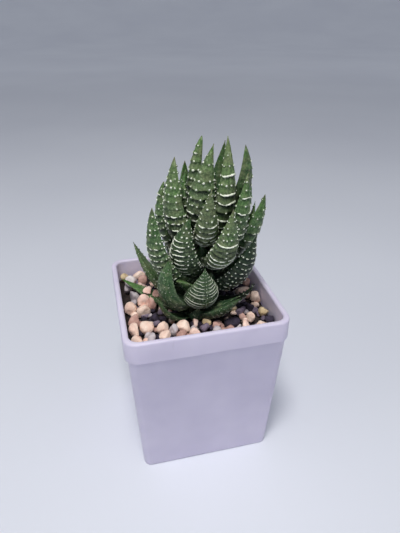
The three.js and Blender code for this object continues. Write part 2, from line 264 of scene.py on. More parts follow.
# The radius of the roll round the foot, under the band and over the lip.
FOOT_ROLL, BAND_ROLL, LIP_ROLL = 0.9, 0.5, 1.0
# The flat underside is this much narrower than the foot, and a slope of this size runs round the floor.
UNDERSIDE_INSET, FLOOR_SLOPE = 8.0, 1.0
# Two rings turn from the body out to the band: how much wider and rounder each is, and how far below it.
TURN_TO_BAND = ((-0.1, 0.0, 0.5), (0.3, 0.3, 0.12))
# On the inside the thicker wall of the rim ends this far below the band.
INSIDE_STEP = 0.4


def square_ring(width, corner, z):
    """Points round a square with round corners."""
    points = []
    inner = width / 2 - corner
    for quarter in range(4):
        middle = math.radians(90 * quarter + 45)
        cx, cy = math.copysign(inner, math.cos(middle)), math.copysign(inner, math.sin(middle))
        for step in range(CORNER_STEPS + 1):
            angle = math.radians(90 * (quarter + step / CORNER_STEPS))
            points.append((cx + corner * math.cos(angle), cy + corner * math.sin(angle), z))
    return points


def inner_width(z):
    """The width of the pot's inside at a height below the rim band."""
    share = z / BAND_BOTTOM
    return BODY_BOTTOM_WIDTH + (BODY_TOP_WIDTH - BODY_BOTTOM_WIDTH) * share - 2 * WALL


def rolled(width, corner, z, radius, start, end, inward):
    """Rings that roll round an edge. inward is 1 on the outside of the pot and -1 on its inside."""
    rings = []
    for step in range(ROLL_STEPS + 1):
        angle = math.radians(start + (end - start) * step / ROLL_STEPS)
        inset = inward * radius * (1 - math.cos(angle))
        rings.append(square_ring(width - 2 * inset, corner - inset, z + radius * math.sin(angle)))
    return rings


def pot_rings():
    """Every ring of the pot, from its underside up the outside, over the lip and down to its floor."""
    opening = RIM_WIDTH - 2 * LIP
    lip_z = POT_HEIGHT - LIP_ROLL
    return [
        square_ring(BODY_BOTTOM_WIDTH - UNDERSIDE_INSET, BODY_CORNER - 1, 0),
        *rolled(BODY_BOTTOM_WIDTH, BODY_CORNER, FOOT_ROLL, FOOT_ROLL, -90, 0, 1),
        *[square_ring(BODY_TOP_WIDTH + wider, BODY_CORNER + rounder, BAND_BOTTOM - below)
          for wider, rounder, below in TURN_TO_BAND],
        *rolled(RIM_WIDTH, RIM_CORNER, BAND_BOTTOM + BAND_ROLL, BAND_ROLL, -90, 0, 1),
        *rolled(RIM_WIDTH, RIM_CORNER, lip_z, LIP_ROLL, 0, 90, 1),
        *rolled(opening, LIP_CORNER, lip_z, LIP_ROLL, 90, 0, -1),
        square_ring(inner_width(BAND_BOTTOM), INSIDE_CORNER, BAND_BOTTOM - INSIDE_STEP),
        square_ring(inner_width(FLOOR + FLOOR_SLOPE), INSIDE_CORNER, FLOOR + FLOOR_SLOPE),
        square_ring(inner_width(FLOOR) - 2 * FLOOR_SLOPE, INSIDE_CORNER - FLOOR_SLOPE, FLOOR),
    ]


rings = pot_rings()
pot = make_piece("pot_moulding", np.concatenate(rings), closed_tube(len(rings), len(rings[0])), [])
print("pot:", len(rings), "rings of", len(rings[0]), "points")

# %% [markdown]
# A pot like this has drainage holes in its floor. Holes could be woven into the rings, but a Boolean
# modifier makes them in one go: four rods are taken away from the moulding, and the result becomes its
# mesh. The edges that are sharper than an angle are then marked, so that the shading doesn't smear them.

# %% The drainage holes
DRAIN_RADIUS, DRAIN_OFFSET, DRAIN_SIDES = 3.5, 15.0, 32
DRILL_FROM, DRILL_TO = -2, 4
SHARP_DEGREES = 40


def drill_rods():
    """Four rods that pass through the floor, as points and faces."""
    points, faces = [], []
    for side_x, side_y in ((-1, -1), (-1, 1), (1, -1), (1, 1)):
        faces += closed_tube(2, DRAIN_SIDES, len(points))
        for z in (DRILL_FROM, DRILL_TO):
            for k in range(DRAIN_SIDES):
                angle = math.radians(k * 360 / DRAIN_SIDES)
                points.append((
                    side_x * DRAIN_OFFSET + DRAIN_RADIUS * math.cos(angle),
                    side_y * DRAIN_OFFSET + DRAIN_RADIUS * math.sin(angle), z))
    return points, faces


def cut_away(piece, tool):
    """Takes the tool's shape out of the piece, and then removes the tool."""
    cut = piece.modifiers.new("cut", "BOOLEAN")
    cut.object = tool
    cut.operation = "DIFFERENCE"
    bpy.context.view_layer.update()
    evaluated = piece.evaluated_get(bpy.context.evaluated_depsgraph_get())
    cut_mesh = bpy.data.meshes.new_from_object(evaluated)
    piece.modifiers.remove(cut)
    piece.data = cut_mesh
    bpy.data.objects.remove(tool)


cut_away(pot, make_piece("drain_drill", *drill_rods(), []))
pot.data.set_sharp_from_angle(angle=math.radians(SHARP_DEGREES))
place_on_frame(pot, "pot_plastic", "pot")
print("pot with its holes:", len(pot.data.polygons), "faces")

# %% [markdown]
# The plastic is white with a satin skin, and its pale lilac tint is painted: the cast of the bluish light
# round it. Up close such a moulding has a very fine orange peel, a few scuffs where it was handled, and a
# little dust of potting mix. Three noises of different sizes give these: one shifts the tone, one makes the
# scuffs, and one the relief.

# %% The pot's finish
def pot_finish():
    material, tree, shader = new_finish(
        "pot_plastic_finish", IOR=1.46, Subsurface_Weight=0.12, Subsurface_Radius=(0.8, 0.7, 1.0),
        Subsurface_Scale=2.0 * MM)
    cloudy = noise(tree, 45, detail=2)
    # The lilac in these tones is a painted cast of the bluish light round the pot.
    tone = ramp(tree, cloudy, (0.3, colour(204, 198, 220)), (0.7, colour(215, 209, 229)))
    scuffs = noise(tree, 420, detail=5, roughness=0.7, stretch=(1, 1, 0.25))
    faint = scaled(tree, remap(tree, scuffs, 0.66, 0.74), 0.16)
    tree.links.new(mix_colours(tree, faint, tone, colour(150, 140, 150)), shader.inputs["Base Color"])
    tree.links.new(remap(tree, scuffs, 0.3, 0.7, 0.40, 0.52), shader.inputs["Roughness"])
    add_relief(tree, shader, noise(tree, 1600, detail=2), 0.02, 0.5)
    return material


set_finish(pot, pot_finish())
print("pot finish:", len(pot.data.materials[0].node_tree.nodes), "nodes")

# %% [markdown]
# A haworthia leaf is a stiff tapered tongue with a round back and a nearly flat inner face. It leaves the
# stem almost level and curves upright. The CAD model states each leaf by seven numbers, and the same
# numbers make it here with far more rings: azimuth, height on the stem, length, lean from upright at the
# base and at the tip, sideways sway of the tip, and half width. Where an eighth number stands, it makes
# the tip slimmer, or fuller if it is under 1.

# %% The leaves, as the CAD model states them
MAIN_STEM = {"x": 6.0, "y": 1.0, "radius": 3.8}
OFFSET_STEM = {"x": -0.5, "y": -8.0, "radius": 3.1}

MAIN_LEAVES = [
    # lowest leaves, spread over the gravel
    (164, 70.5, 42, 83, 23, -1, 5.3, 0.9),
    (61, 71, 34, 76, 30, 0, 5.0),
    (314, 73, 29, 94, 32, -3, 2.8),
    (120, 73.5, 36, 78, 24, 0, 5.0),
    (20, 75, 36, 78, 22, 0, 5.2),
    # middle of the stem
    (80, 79, 37, 78, 18, 0, 5.4),
    (264, 82, 16, 80, 22, 0.5, 4.4),
    (129, 82.5, 38, 76, 12, 0, 5.3),
    (40, 83, 38, 77, 12, 0, 5.3),
    (201, 85, 47, 85, -1, -1, 7.0, 0.75),
    (303, 84, 38.5, 78, 17, 0, 7.2),
    (94, 87.5, 39, 75, 8, 0, 5.4),
    (143, 90.5, 33, 77, 6, 0, 5.0),
    (352, 91, 34.5, 74, 8, 0, 5.0),
    (218, 91.5, 36, 82, -4, 7.2, 7.2),
    (16, 93, 39, 68, 7, 0, 5.2),
    (69, 95, 40, 72, 2, 0, 5.2),
    (248, 94, 14, 62, 20, 0, 4.6),
    (278, 96, 40, 85, 9, 0.5, 6.2),
    (164, 96, 38.5, 75, -8, 2, 6.0, 0.65),
    (112, 98, 32, 68, 1, 0, 4.8),
    (324, 98, 37.5, 75, 15, -1, 7.2, 0.8),
    # crown
    (120, 101, 35.4, 46, -5, 0.6, 4.6, 0.8),
    (294, 100, 45, 71, 3, 1, 5.2, 0.9),
    (0, 100, 40, 64, -2, 0, 5.2),
    (204, 100.5, 43.4, 58, -12, -2.8, 6.4, 0.8),
    (91, 103, 40, 58, -3, 0, 4.9),
    (304, 103.5, 40.5, 66, 5, 0, 3.2),
    (256, 105, 36, 74, 12, 2, 4.8),
    (55, 107, 37.5, 49, 3, -2.5, 4.5),
    (284, 107.5, 46, 59, -14, 2, 4.3, 0.85),
    (16, 110, 34, 42, -5, 0, 3.8),
    (164, 110, 24, 38, -6, 0, 4.1),
    (243, 111, 38.5, 49, -9, 5.5, 5.7, 1.05),
    (268, 114.5, 28.5, 27, -4, 0, 2.9),
    (218, 115, 34, 30, -14, 2, 3.3, 0.6),
    (324, 117, 33.3, 72, -3, -1.5, 5.9, 0.8),
]
OFFSET_LEAVES = [
    (262, 71, 9, 70, 20, 0, 3.6),
    (144, 71, 37, 88, 77, -2.6, 4.0),
    (209, 71, 25, 98, 19, -2.3, 2.8),
    (308, 73, 23, 76, 45, 2, 5.2),
    (169, 73.5, 23, 85, 10, 1, 2.8),
    (317, 75, 20, 80, 49, 1, 2.5),
    (197, 77.5, 30, 82, -12, 2.5, 6.8, 0.85),
    (276, 79.5, 22, 54, 5, 0, 7.5, 1.3),
    (214, 82, 13.5, -5, 65, 0, 3.8),
]
print("leaves:", len(MAIN_LEAVES), "on the main stem,", len(OFFSET_LEAVES), "on the offset")

# %% [markdown]
# The surface of a leaf is one function of two values: s runs from the stem to the tip, and the angle runs
# round the section, over the back from 0 to 180 degrees and along the inner face from 180 to 360. With
# the surface as a function, the tubercles can be set on it exactly, wherever they are wanted.

# %% A leaf as a surface
# A leaf starts this far outside its stem. The power, over 1, puts most of its bend near the stem.
LEAF_ROOT, LEAN_POWER = 0.5, 1.8
# The share of the length where a leaf is widest, and its width at the stem as a share of the widest.
WIDEST_AT, BASE_WIDTH = 0.25, 0.5
TIP_HALF_WIDTH = 0.12
# Shares of the half width: the rise of the back over the margins, how far the margins lie to the inner
# side of the midline, and how far the inner face stands out from them.
BACK_RISE, MARGIN_SET_BACK, FACE_RISE = 0.85, 0.15, 0.10
# The height of a full ledge, and how long the step below it is.
LEDGE_HEIGHT, LEDGE_STEP = 0.60, 0.38
# A row of tubercles turns through its wave this many times as fast as the angle round the back.
WAVES_ACROSS = 3.0
MIDLINE_STEPS = 120
# Directions on the skin are measured between points this far apart: millimetres along it, radians round it.
PROBE_ALONG, PROBE_ROUND = 0.4, 0.05


def row_wave(row, angle):
    """How far a row swings towards the tip at an angle round the back, in millimetres."""
    return row["wave"] * np.sin(WAVES_ACROSS * angle + row["phase"])


class Leaf:
    """One leaf's surface. Points are in millimetres."""

    def __init__(self, stem, azimuth, height, length, base_lean, tip_lean, sway, half_width, taper=1.0):
        self.length, self.half_width, self.height, self.taper = length, half_width, height, taper
        around = math.radians(azimuth)
        self.outward = np.array([math.cos(around), math.sin(around), 0.0])
        self.sideways = np.array([-math.sin(around), math.cos(around), 0.0])
        self.base_lean, self.tip_lean, self.sway = base_lean, tip_lean, sway
        middle = (np.arange(MIDLINE_STEPS) + 0.5) / MIDLINE_STEPS
        lean = self.lean(middle)
        step = length / MIDLINE_STEPS
        self.reach = np.concatenate([[0], np.cumsum(np.sin(lean) * step)]) + stem["radius"] + LEAF_ROOT
        self.rise = np.concatenate([[0], np.cumsum(np.cos(lean) * step)]) + height
        self.foot = np.array([stem["x"], stem["y"], 0.0])
        # The rows of tubercles and the distance between them are planned later.
        self.rows, self.pitch = [], None

    def lean(self, s):
        """The lean from upright, in radians. Most of the bend lies near the stem."""
        return np.radians(self.tip_lean + (self.base_lean - self.tip_lean) * (1 - s) ** LEAN_POWER)

    def half(self, s):
        """Half the width of the leaf."""
        rising = BASE_WIDTH + (1 - BASE_WIDTH) * np.sin(s / WIDEST_AT * np.pi / 2)
        falling = np.clip(np.sin((1 - s) / (1 - WIDEST_AT) * np.pi / 2), 0, 1) ** self.taper
        shape = np.where(s < WIDEST_AT, rising, falling)
        return np.maximum(self.half_width * shape, TIP_HALF_WIDTH)

    def above_row(self, row, s, angle):
        """How far a place lies above a row, in millimetres. Rows waver a little across the leaf."""
        return (s - row["place"]) * self.length - row_wave(row, angle)

    def ledges(self, s, angle):
        """The skin swells down towards each row of tubercles, and steps in just below it."""
        lift = np.zeros(np.broadcast(s, angle).shape)
        for row in self.rows:
            above = self.above_row(row, s, angle)
            swell = np.clip(1 - above / self.pitch, 0, 1)
            step = np.clip(1 + above / LEDGE_STEP, 0, 1)
            lift = np.maximum(lift, LEDGE_HEIGHT * row["ledge"] * np.minimum(swell, step))
        return lift * np.clip(np.sin(angle), 0, 1) ** 0.5

    def surface(self, s, angle, with_ledges=True):
        """Points of the skin at shares s of the length and at angles round the section."""
        s, angle = np.broadcast_arrays(np.asarray(s, float), np.asarray(angle, float))
        steps = np.linspace(0, 1, MIDLINE_STEPS + 1)
        out, up = np.interp(s, steps, self.reach), np.interp(s, steps, self.rise)
        lean, half = self.lean(s), self.half(s)
        lift = self.ledges(s, angle) if with_ledges else 0.0
        across = -np.cos(angle) * (half + lift)
        rise = np.where(np.sin(angle) > 0, BACK_RISE * half + lift, FACE_RISE * half)
        behind = np.sin(angle) * rise - MARGIN_SET_BACK * half
        centre = (self.foot + out[..., None] * self.outward + (self.sway * s * s)[..., None] * self.sideways)
        centre[..., 2] += up
        back = np.cos(lean)[..., None] * self.outward
        back[..., 2] -= np.sin(lean)
        return centre + across[..., None] * self.sideways + behind[..., None] * back

    def directions(self, s, angle):
        """Along the leaf, across it and out of its skin, as unit vectors."""
        step = PROBE_ALONG / self.length
        along = self.surface(s + step, angle, False) - self.surface(s - step, angle, False)
        across = self.surface(s, angle + PROBE_ROUND, False) - self.surface(s, angle - PROBE_ROUND, False)
        along /= np.linalg.norm(along, axis=-1, keepdims=True)
        across /= np.linalg.norm(across, axis=-1, keepdims=True)
        normal = np.cross(across, along)
        return along, across, normal / np.linalg.norm(normal, axis=-1, keepdims=True)


longest = Leaf(MAIN_STEM, *max(MAIN_LEAVES, key=lambda numbers: numbers[2]))
print("the longest leaf's tip is at", longest.surface(1.0, 0.0).round(1), "mm")

# %% [markdown]
# The white tubercles stand in rows across the back. Low on a leaf they run together in wavy bands, each
# on the edge of a small ledge, and further out they stand apart as round dots. They could be painted, but
# on the real leaf they are raised and catch the light, so here they are solid. What they are like differs
# from leaf to leaf: one rule covers most leaves, and the ones that the photograph shows best are given one by
# one.

# %% What the tubercles of each leaf are like
# Lengths are in millimetres. Shares are of the leaf's length, or of the way across its back.
BOLD = {
    "pitch": 3.0,  # the distance of the rows
    "bands_up_to": 0.62,  # the share of the length that has bands
    "band": 0.33,  # half the depth of a band
    "dot": 0.44,  # the radius of a dot
    "spacing": 1.75,  # the distance of the dots in a row
    "ledge": 1.0,  # the height of the ledges, as a share of the highest
    "bright": 1.0,  # how white the tubercles are
    "pieces": (2.4, 6.5),  # the length of the pieces of a band
    "banded": (0.15, 0.85),  # the part of the back that bands cross
    "marked": (0.0, 1.0),  # the part of the back that has any tubercles
    "split": False,  # whether each band is cut once, with a dot in the cut
    "dotted": (),  # the rows that stay dots among the bands
    "shift": 0.0,  # how far all the rows move to the tip
}
CLOSE = {
    **BOLD, "pitch": 1.3, "bands_up_to": 0.95, "band": 0.17, "dot": 0.22, "spacing": 1.3, "ledge": 0.35,
    "bright": 0.55, "split": True,
}
FINE = {**BOLD, "pitch": 2.2, "bands_up_to": 0.0, "dot": 0.22, "spacing": 1.8, "ledge": 0.25, "bright": 0.5}
BARE = {**BOLD, "pitch": 2.6, "bands_up_to": 0.0, "dot": 0.20, "spacing": 4.0, "ledge": 0.2, "bright": 0.3}
# The leaves that the photograph shows best differ from the rule in these.
SEEN_PATTERNS = {
    "leaf_01": {"pitch": 2.4, "bright": 0.8, "dot": 0.30},
    "leaf_10": {"pitch": 2.6, "bands_up_to": 0.80, "pieces": (1.6, 2.8)},
    "leaf_11": {"pitch": 2.4, "bands_up_to": 0.90, "pieces": (1.2, 2.4), "band": 0.2, "bright": 0.75},
    "leaf_15": {
        "pitch": 2.05, "bands_up_to": 0.80, "pieces": (4.0, 9.0), "band": 0.23, "banded": (0.06, 0.70),
        "ledge": 0.8,
    },
    "leaf_19": {
        "pitch": 2.5, "bands_up_to": 0.74, "pieces": (4.5, 10.0), "band": 0.31, "banded": (0.06, 0.8),
    },
    "leaf_22": {"pitch": 3.3, "bands_up_to": 0.80, "pieces": (1.8, 3.2), "band": 0.26},
    "leaf_23": {**BARE, "ledge": 0.1},
    "leaf_24": {"pitch": 3.0, "bands_up_to": 0.45},
    "leaf_26": {"pitch": 2.85, "bands_up_to": 0.50, "pieces": (1.6, 3.0), "dot": 0.5, "spacing": 1.6},
    "leaf_29": {"pitch": 2.6, "bands_up_to": 0.62, "pieces": (3.0, 7.0), "dot": 0.48},
    "leaf_30": {**BARE, "ledge": 0.1},
    "leaf_31": {
        "pitch": 3.5, "bands_up_to": 0.86, "pieces": (6.0, 9.0), "band": 0.44, "banded": (0.08, 0.8),
        "dotted": (6, 8, 9, 10), "shift": 0.055,
    },
    "leaf_34": {
        "pitch": 3.2, "bands_up_to": 0.56, "pieces": (1.9, 3.8), "dot": 0.5, "spacing": 1.7, "shift": -0.045,
    },
    "leaf_36": {
        "pitch": 3.3, "bands_up_to": 0.95, "pieces": (1.4, 2.0), "band": 0.4, "banded": (0.38, 0.66),
        "dot": 0.52, "marked": (0.0, 0.68), "shift": 0.045,
    },
    "leaf_37": {"pitch": 3.4, "bands_up_to": 0.0, "spacing": 1.9, "marked": (0.42, 1.0)},
    "offset_leaf_04": {"bands_up_to": 0.95, "band": 0.13, "bright": 0.35, "pieces": (1.5, 4.0)},
    "offset_leaf_07": {"pitch": 1.9, "spacing": 1.2, "dot": 0.20, "bright": 0.55},
    "offset_leaf_09": {"pitch": 1.6, "spacing": 1.2, "dot": 0.24, "bright": 0.6},
}
SHORT_LEAF, LOW_LEAF, BROAD_LEAF = 20, 73, 7


def pattern_of(name, leaf, on_offset):
    """Rows stand further apart and bolder towards the crown. The offset's leaves and the lowest are fine."""
    if leaf.length < SHORT_LEAF:
        rule = BARE
    elif on_offset:
        rule = CLOSE if leaf.half_width > BROAD_LEAF else FINE
    elif leaf.height < LOW_LEAF:
        rule = {**FINE, "pitch": 2.6}
    else:
        # Between these heights on the stem, in millimetres, the values change evenly.
        rule = {
            **BOLD,
            "pitch": float(np.interp(leaf.height, (90, 102, 108), (2.85, 3.2, 3.6))),
            "bands_up_to": float(np.interp(leaf.height, (85, 100, 112), (0.72, 0.52, 0.64))),
            "band": float(np.interp(leaf.height, (88, 110), (0.24, 0.34))),
        }
    return {**rule, **SEEN_PATTERNS.get(name, {})}


print("patterns set by hand:", len(SEEN_PATTERNS))

# %% [markdown]
# Next the rows of a leaf are planned. Each has a place along the leaf, and is either a band or a row of
# dots. Low down nearly all are bands, near the tip nearly all are dots, and for a short way either may come.

# %% Plan the rows of tubercles
FIRST_ROW, LAST_ROW = 0.10, 0.93
# Under 1, this moves the rows a little closer together towards the tip.
ROW_POWER = 0.95
# How likely a row is a band: where bands are the rule, in the mixed stretch, and beyond it.
BAND_CHANCE, MIXED_CHANCE, STRAY_CHANCE = 0.94, 0.55, 0.10
# The mixed stretch, from before the end of the bands to after it.
MIXED_FROM, MIXED_TO = -0.12, 0.05
# Ledges are highest at the foot, flatter towards the tip, on narrow leaves and on rows of dots.
LEDGE_AT_FOOT, LEDGE_LOSS, FULL_LEDGE_HALF_WIDTH, LEDGE_OF_DOTS = 1.25, 0.5, 3.5, 0.4
WAVE_HEIGHTS = (0.05, 0.2)


def is_band(pattern, number, place, bands_up_to, draw):
    """Whether a row is a band."""
    if pattern["bands_up_to"] == 0 or number in pattern["dotted"]:
        return False
    if pattern["split"] or place < bands_up_to + MIXED_FROM:
        return draw.random() < BAND_CHANCE
    return draw.random() < (MIXED_CHANCE if place < bands_up_to + MIXED_TO else STRAY_CHANCE)


def plan_rows(leaf, pattern, draw):
    """Each row's place along the leaf, whether it is a band, the height of its ledge, and its wave."""
    leaf.pitch = pattern["pitch"]
    count = max(3, round((LAST_ROW - FIRST_ROW) * leaf.length / leaf.pitch))
    bands_up_to = pattern["bands_up_to"] + draw.normal(0, 0.03)
    for number in range(count + 1):
        place = pattern["shift"] + FIRST_ROW + (LAST_ROW - FIRST_ROW) * (number / count) ** ROW_POWER
        if place > LAST_ROW + 0.01:
            continue
        banded = is_band(pattern, number, place, bands_up_to, draw)
        slim = min(1.0, float(leaf.half(place)) / FULL_LEDGE_HALF_WIDTH)
        low = LEDGE_AT_FOOT - LEDGE_LOSS * place
        leaf.rows.append({
            "place": place,
            "banded": banded,
            "ledge": pattern["ledge"] * slim * low * (1.0 if banded else LEDGE_OF_DOTS),
            "wave": draw.uniform(*WAVE_HEIGHTS),
            "phase": draw.uniform(0, 6.3),
        })


plan_rows(longest, BOLD, drawn(0))
print("the longest leaf would have", len(longest.rows), "bold rows")

# %% [markdown]
# Then each row gets its tubercles. A band on the real leaf is many tubercles grown into one, and it breaks
# now and then. So it is cut into pieces of random lengths, and some of the pieces shrink to a dot. On
# leaves with a close pattern each band is cut only once, near its middle. Dots stand beside a band, out to
# the margins. arc below is the way across the back in millimetres, and places on it are shares of it.

# %% Plan a band
MARGIN_ANGLE = 0.04 * math.pi
# Half the gap in a split band and between the pieces of a broken one, and the shortest piece of a band.
SPLIT_GAP, BREAK_GAP, SHORTEST_PIECE = 0.55, 0.30, 1.3
# How much the ends of a band scatter, as a share of the back, and its cuts, as a share of a piece.
END_SCATTER, CUT_SCATTER = 0.03, 0.3
# How likely a piece shrinks to a dot, and how likely a place beside a band has a dot.
SHRINK_CHANCE, BESIDE_CHANCE = 0.15, 0.8


def near_row(leaf, row, draw, spread, further=0.0):
    """A random place close to a row, as a share of the length. spread and further are in millimetres."""
    return row["place"] + draw.normal(further, spread) / leaf.length


def places_between(low, high, arc, spacing):
    """Shares of the back where dots stand, evenly spaced between two shares of it."""
    count = round((high - low) * arc / spacing)
    return [low + (high - low) * (k + 0.5) / count for k in range(count)]


def split_band(row, arc, dot, band, draw):
    """A band that is cut once, near its middle, and the dot in the cut."""
    middle = 0.5 + draw.normal(0, 0.01)
    gap = min(0.3, SPLIT_GAP / arc)
    return [(row["place"], math.pi * middle, dot)], [
        (row, MARGIN_ANGLE, math.pi * (middle - gap), band),
        (row, math.pi * (middle + gap), math.pi - MARGIN_ANGLE, band),
    ]


def broken_band(leaf, row, pattern, arc, dot, band, draw):
    """The pieces of a band, the dots that some of them shrink to, and the dots on both sides of it."""
    dots, bands = [], []
    low, high = pattern["marked"]
    left = max(low, pattern["banded"][0] + draw.normal(0, END_SCATTER))
    right = min(high, pattern["banded"][1] + draw.normal(0, END_SCATTER))
    parts = max(1, round((right - left) * arc / draw.uniform(*pattern["pieces"])))
    cuts = np.arange(parts + 1.0)
    cuts[1:-1] += draw.uniform(-CUT_SCATTER, CUT_SCATTER, parts - 1)
    cuts = left + (right - left) * cuts / parts
    gap = BREAK_GAP / arc
    for start, end in zip(cuts[:-1], cuts[1:]):
        if (end - start) * arc < SHORTEST_PIECE or draw.random() < SHRINK_CHANCE:
            place = near_row(leaf, row, draw, 0.15)
            dots.append((place, math.pi * (start + end) / 2, dot * draw.uniform(0.85, 1.05)))
        else:
            depth = band * draw.uniform(0.85, 1.15)
            bands.append((row, math.pi * (start + gap), math.pi * (end - gap), depth))
    spacing = pattern["spacing"]
    for side in places_between(low, left, arc, spacing) + places_between(right, high, arc, spacing):
        if draw.random() < BESIDE_CHANCE:
            place = near_row(leaf, row, draw, 0.2, 0.1)
            dots.append((place, math.pi * side, dot * draw.uniform(0.65, 0.9)))
    return dots, bands


print("dots along 10 mm, as shares:", np.round(places_between(0.0, 1.0, 10.0, BOLD["spacing"]), 2))

# %% [markdown]
# A row without a band is a row of dots. Every second row is set off, a few dots are missing, and none
# stands quite in line. Small dots stand on both margins of nearly every row. All marks are smaller where
# the leaf is narrow. With the dots and the bands of every row, the plan of a leaf is complete.

# %% Plan the dots, and with them the whole leaf
# The way across the back from margin to margin, for each millimetre of half width.
ARC_PER_HALF_WIDTH = 2.5
# How far the first dot of a row is set off from the margin, in steps: rows of even, then of odd number.
SET_OFF = (0.35, 0.75)
# How likely a dot is missing from its row, and how likely a row has a dot on a margin.
MISSING_CHANCE, MARGIN_CHANCE = 0.14, 0.85
MARGIN_PLACES = (0.006, 0.994)
# Dots stand only between these shares of the length.
FIRST_DOT, LAST_DOT = 0.04, 0.95


def loose_dots(leaf, row, number, pattern, arc, dot, draw):
    """The dots of a row without a band."""
    dots = []
    low, high = pattern["marked"]
    count = max(1, int(arc / pattern["spacing"]))
    for k in range(count):
        share = (k + SET_OFF[number % 2]) / (count + 0.1)
        if low <= share <= min(high, 0.96) and draw.random() >= MISSING_CHANCE:
            angle = math.pi * (0.05 + 0.90 * share) + draw.normal(0, 0.09)
            place = near_row(leaf, row, draw, 0.30)
            # Dots are larger in the middle of the back.
            larger = 0.75 + 0.3 * math.sin(angle)
            dots.append((place, angle, dot * larger * draw.uniform(0.65, 1.15)))
    return dots


def margin_dots(leaf, row, pattern, dot, draw):
    """The dots of a row that stand on the margins."""
    dots = []
    low, high = pattern["marked"]
    for margin in MARGIN_PLACES:
        if low <= margin <= high and draw.random() < MARGIN_CHANCE:
            place = near_row(leaf, row, draw, 0.3)
            dots.append((place, math.pi * margin, dot * draw.uniform(0.6, 0.9)))
    return dots


def plan_marks(leaf, pattern, draw):
    """The dots of a leaf as place, angle and radius, and its bands as row, start, end and half depth."""
    dots, bands = [], []
    for number, row in enumerate(leaf.rows):
        half = float(leaf.half(row["place"]))
        arc = ARC_PER_HALF_WIDTH * half
        # Marks have their full size where the half width is 3 mm or more.
        slim = min(1.0, 0.5 + half / 6)
        dot, band = pattern["dot"] * slim, pattern["band"] * slim
        row_bands = []
        if row["banded"] and pattern["split"]:
            row_dots, row_bands = split_band(row, arc, dot, band, draw)
        elif row["banded"]:
            row_dots, row_bands = broken_band(leaf, row, pattern, arc, dot, band, draw)
        else:
            row_dots = loose_dots(leaf, row, number, pattern, arc, dot, draw)
        dots += row_dots + margin_dots(leaf, row, pattern, dot, draw)
        bands += row_bands
    return [dot for dot in dots if FIRST_DOT < dot[0] < LAST_DOT], bands


longest_dots, longest_bands = plan_marks(longest, BOLD, drawn(0))
print("the longest leaf would have", len(longest_dots), "dots and", len(longest_bands), "pieces of bands")

# %% [markdown]
# Now the planned marks get their form. A dot is a small closed dome that sinks a little into the skin, and
# it stands on a low mound of skin. Both are rings of points with one point at the top and one below, and
# the domes of a whole leaf are made in one go. Half a ball would do from afar, but it meets the skin in a
# hard line, while the mound leads up to the dot softly.

# %% Shape the dots
DOME_SIDES = 10
# Rings of a dot from its edge to its top, as shares of its radius and its rise, and of the low mound of
# skin that it stands on.
DOT_PROFILE = ((1.0, -0.5), (0.97, 0.15), (0.74, 0.7), (0.36, 0.96))
MOUND_PROFILE = ((2.3, -0.25), (1.8, 0.0), (1.35, 0.22), (1.0, 0.34))
# The top point stands this much over the last ring, and the bottom point lies this deep, as such shares.
TOP_OVER_RING, BOTTOM_DEPTH = 0.04, 0.6
# The rise of a dot for each millimetre of its radius.
RISE_OF_DOT = 1.0


def dot_domes(leaf, dots, profile):
    """A dome at each dot of a leaf, as points and faces, with the share of the length at each point."""
    s, angle, radius = np.array(dots).T
    place = leaf.surface(s, angle)
    along, across, normal = leaf.directions(s, angle)
    turn = np.linspace(0, 2 * np.pi, DOME_SIDES, endpoint=False)[None, :, None]
    wide = radius[:, None, None]
    rings = [
        place[:, None] + normal[:, None] * wide * RISE_OF_DOT * level
        + (np.cos(turn) * across[:, None] + np.sin(turn) * along[:, None]) * wide * share
        for share, level in profile
    ]
    top = place + normal * radius[:, None] * RISE_OF_DOT * (profile[-1][1] + TOP_OVER_RING)
    bottom = place - normal * radius[:, None] * BOTTOM_DEPTH
    block = np.concatenate([*rings, top[:, None], bottom[:, None]], axis=1)
    faces = rings_to_faces(len(profile), DOME_SIDES)
    top_point = len(profile) * DOME_SIDES
    last_ring = top_point - DOME_SIDES
    for k in range(DOME_SIDES):
        following = (k + 1) % DOME_SIDES
        faces.append((last_ring + k, last_ring + following, top_point))
        faces.append((following, k, top_point + 1))
    per_dome = block.shape[1]
    return block.reshape(-1, 3), repeated(faces, len(dots), per_dome), np.repeat(s, per_dome)


print("faces of a dome:", len(dot_domes(longest, longest_dots[:1], DOT_PROFILE)[1]))

# %% [markdown]
# A piece of a band is a thin rod that follows the back, round at both ends. On the real leaf one still
# sees the tubercles in it, so its line wanders a little, its depth is ragged, and beads run along it.

# %% Shape the bands
ROD_SIDES, ROD_STEP, ROD_LEAST_RINGS = 8, 0.38, 6
# The rise of a rod for each millimetre of its half depth, and how far it lies above the middle of its row.
RISE_OF_BAND, ROD_ABOVE_ROW = 1.05, 0.05
# A rod wanders off its row by about so many millimetres, at this many places along it.
WANDER, WANDER_KNOTS = 0.14, 6
# At each knot along a rod its depth is a random share between these two. The knots are so far apart.
KNOT_DEPTHS, KNOT_PITCH = (0.62, 1.25), 0.55
# The beads change the depth by this share, and their wave turns by so many radians in a millimetre.
BEAD_SHARE, BEAD_RATE = 0.22, 5.0
# The higher this power, the blunter the ends of a rod. The second number keeps them from closing quite.
BLUNTNESS, END_SHARE = 5, 0.02


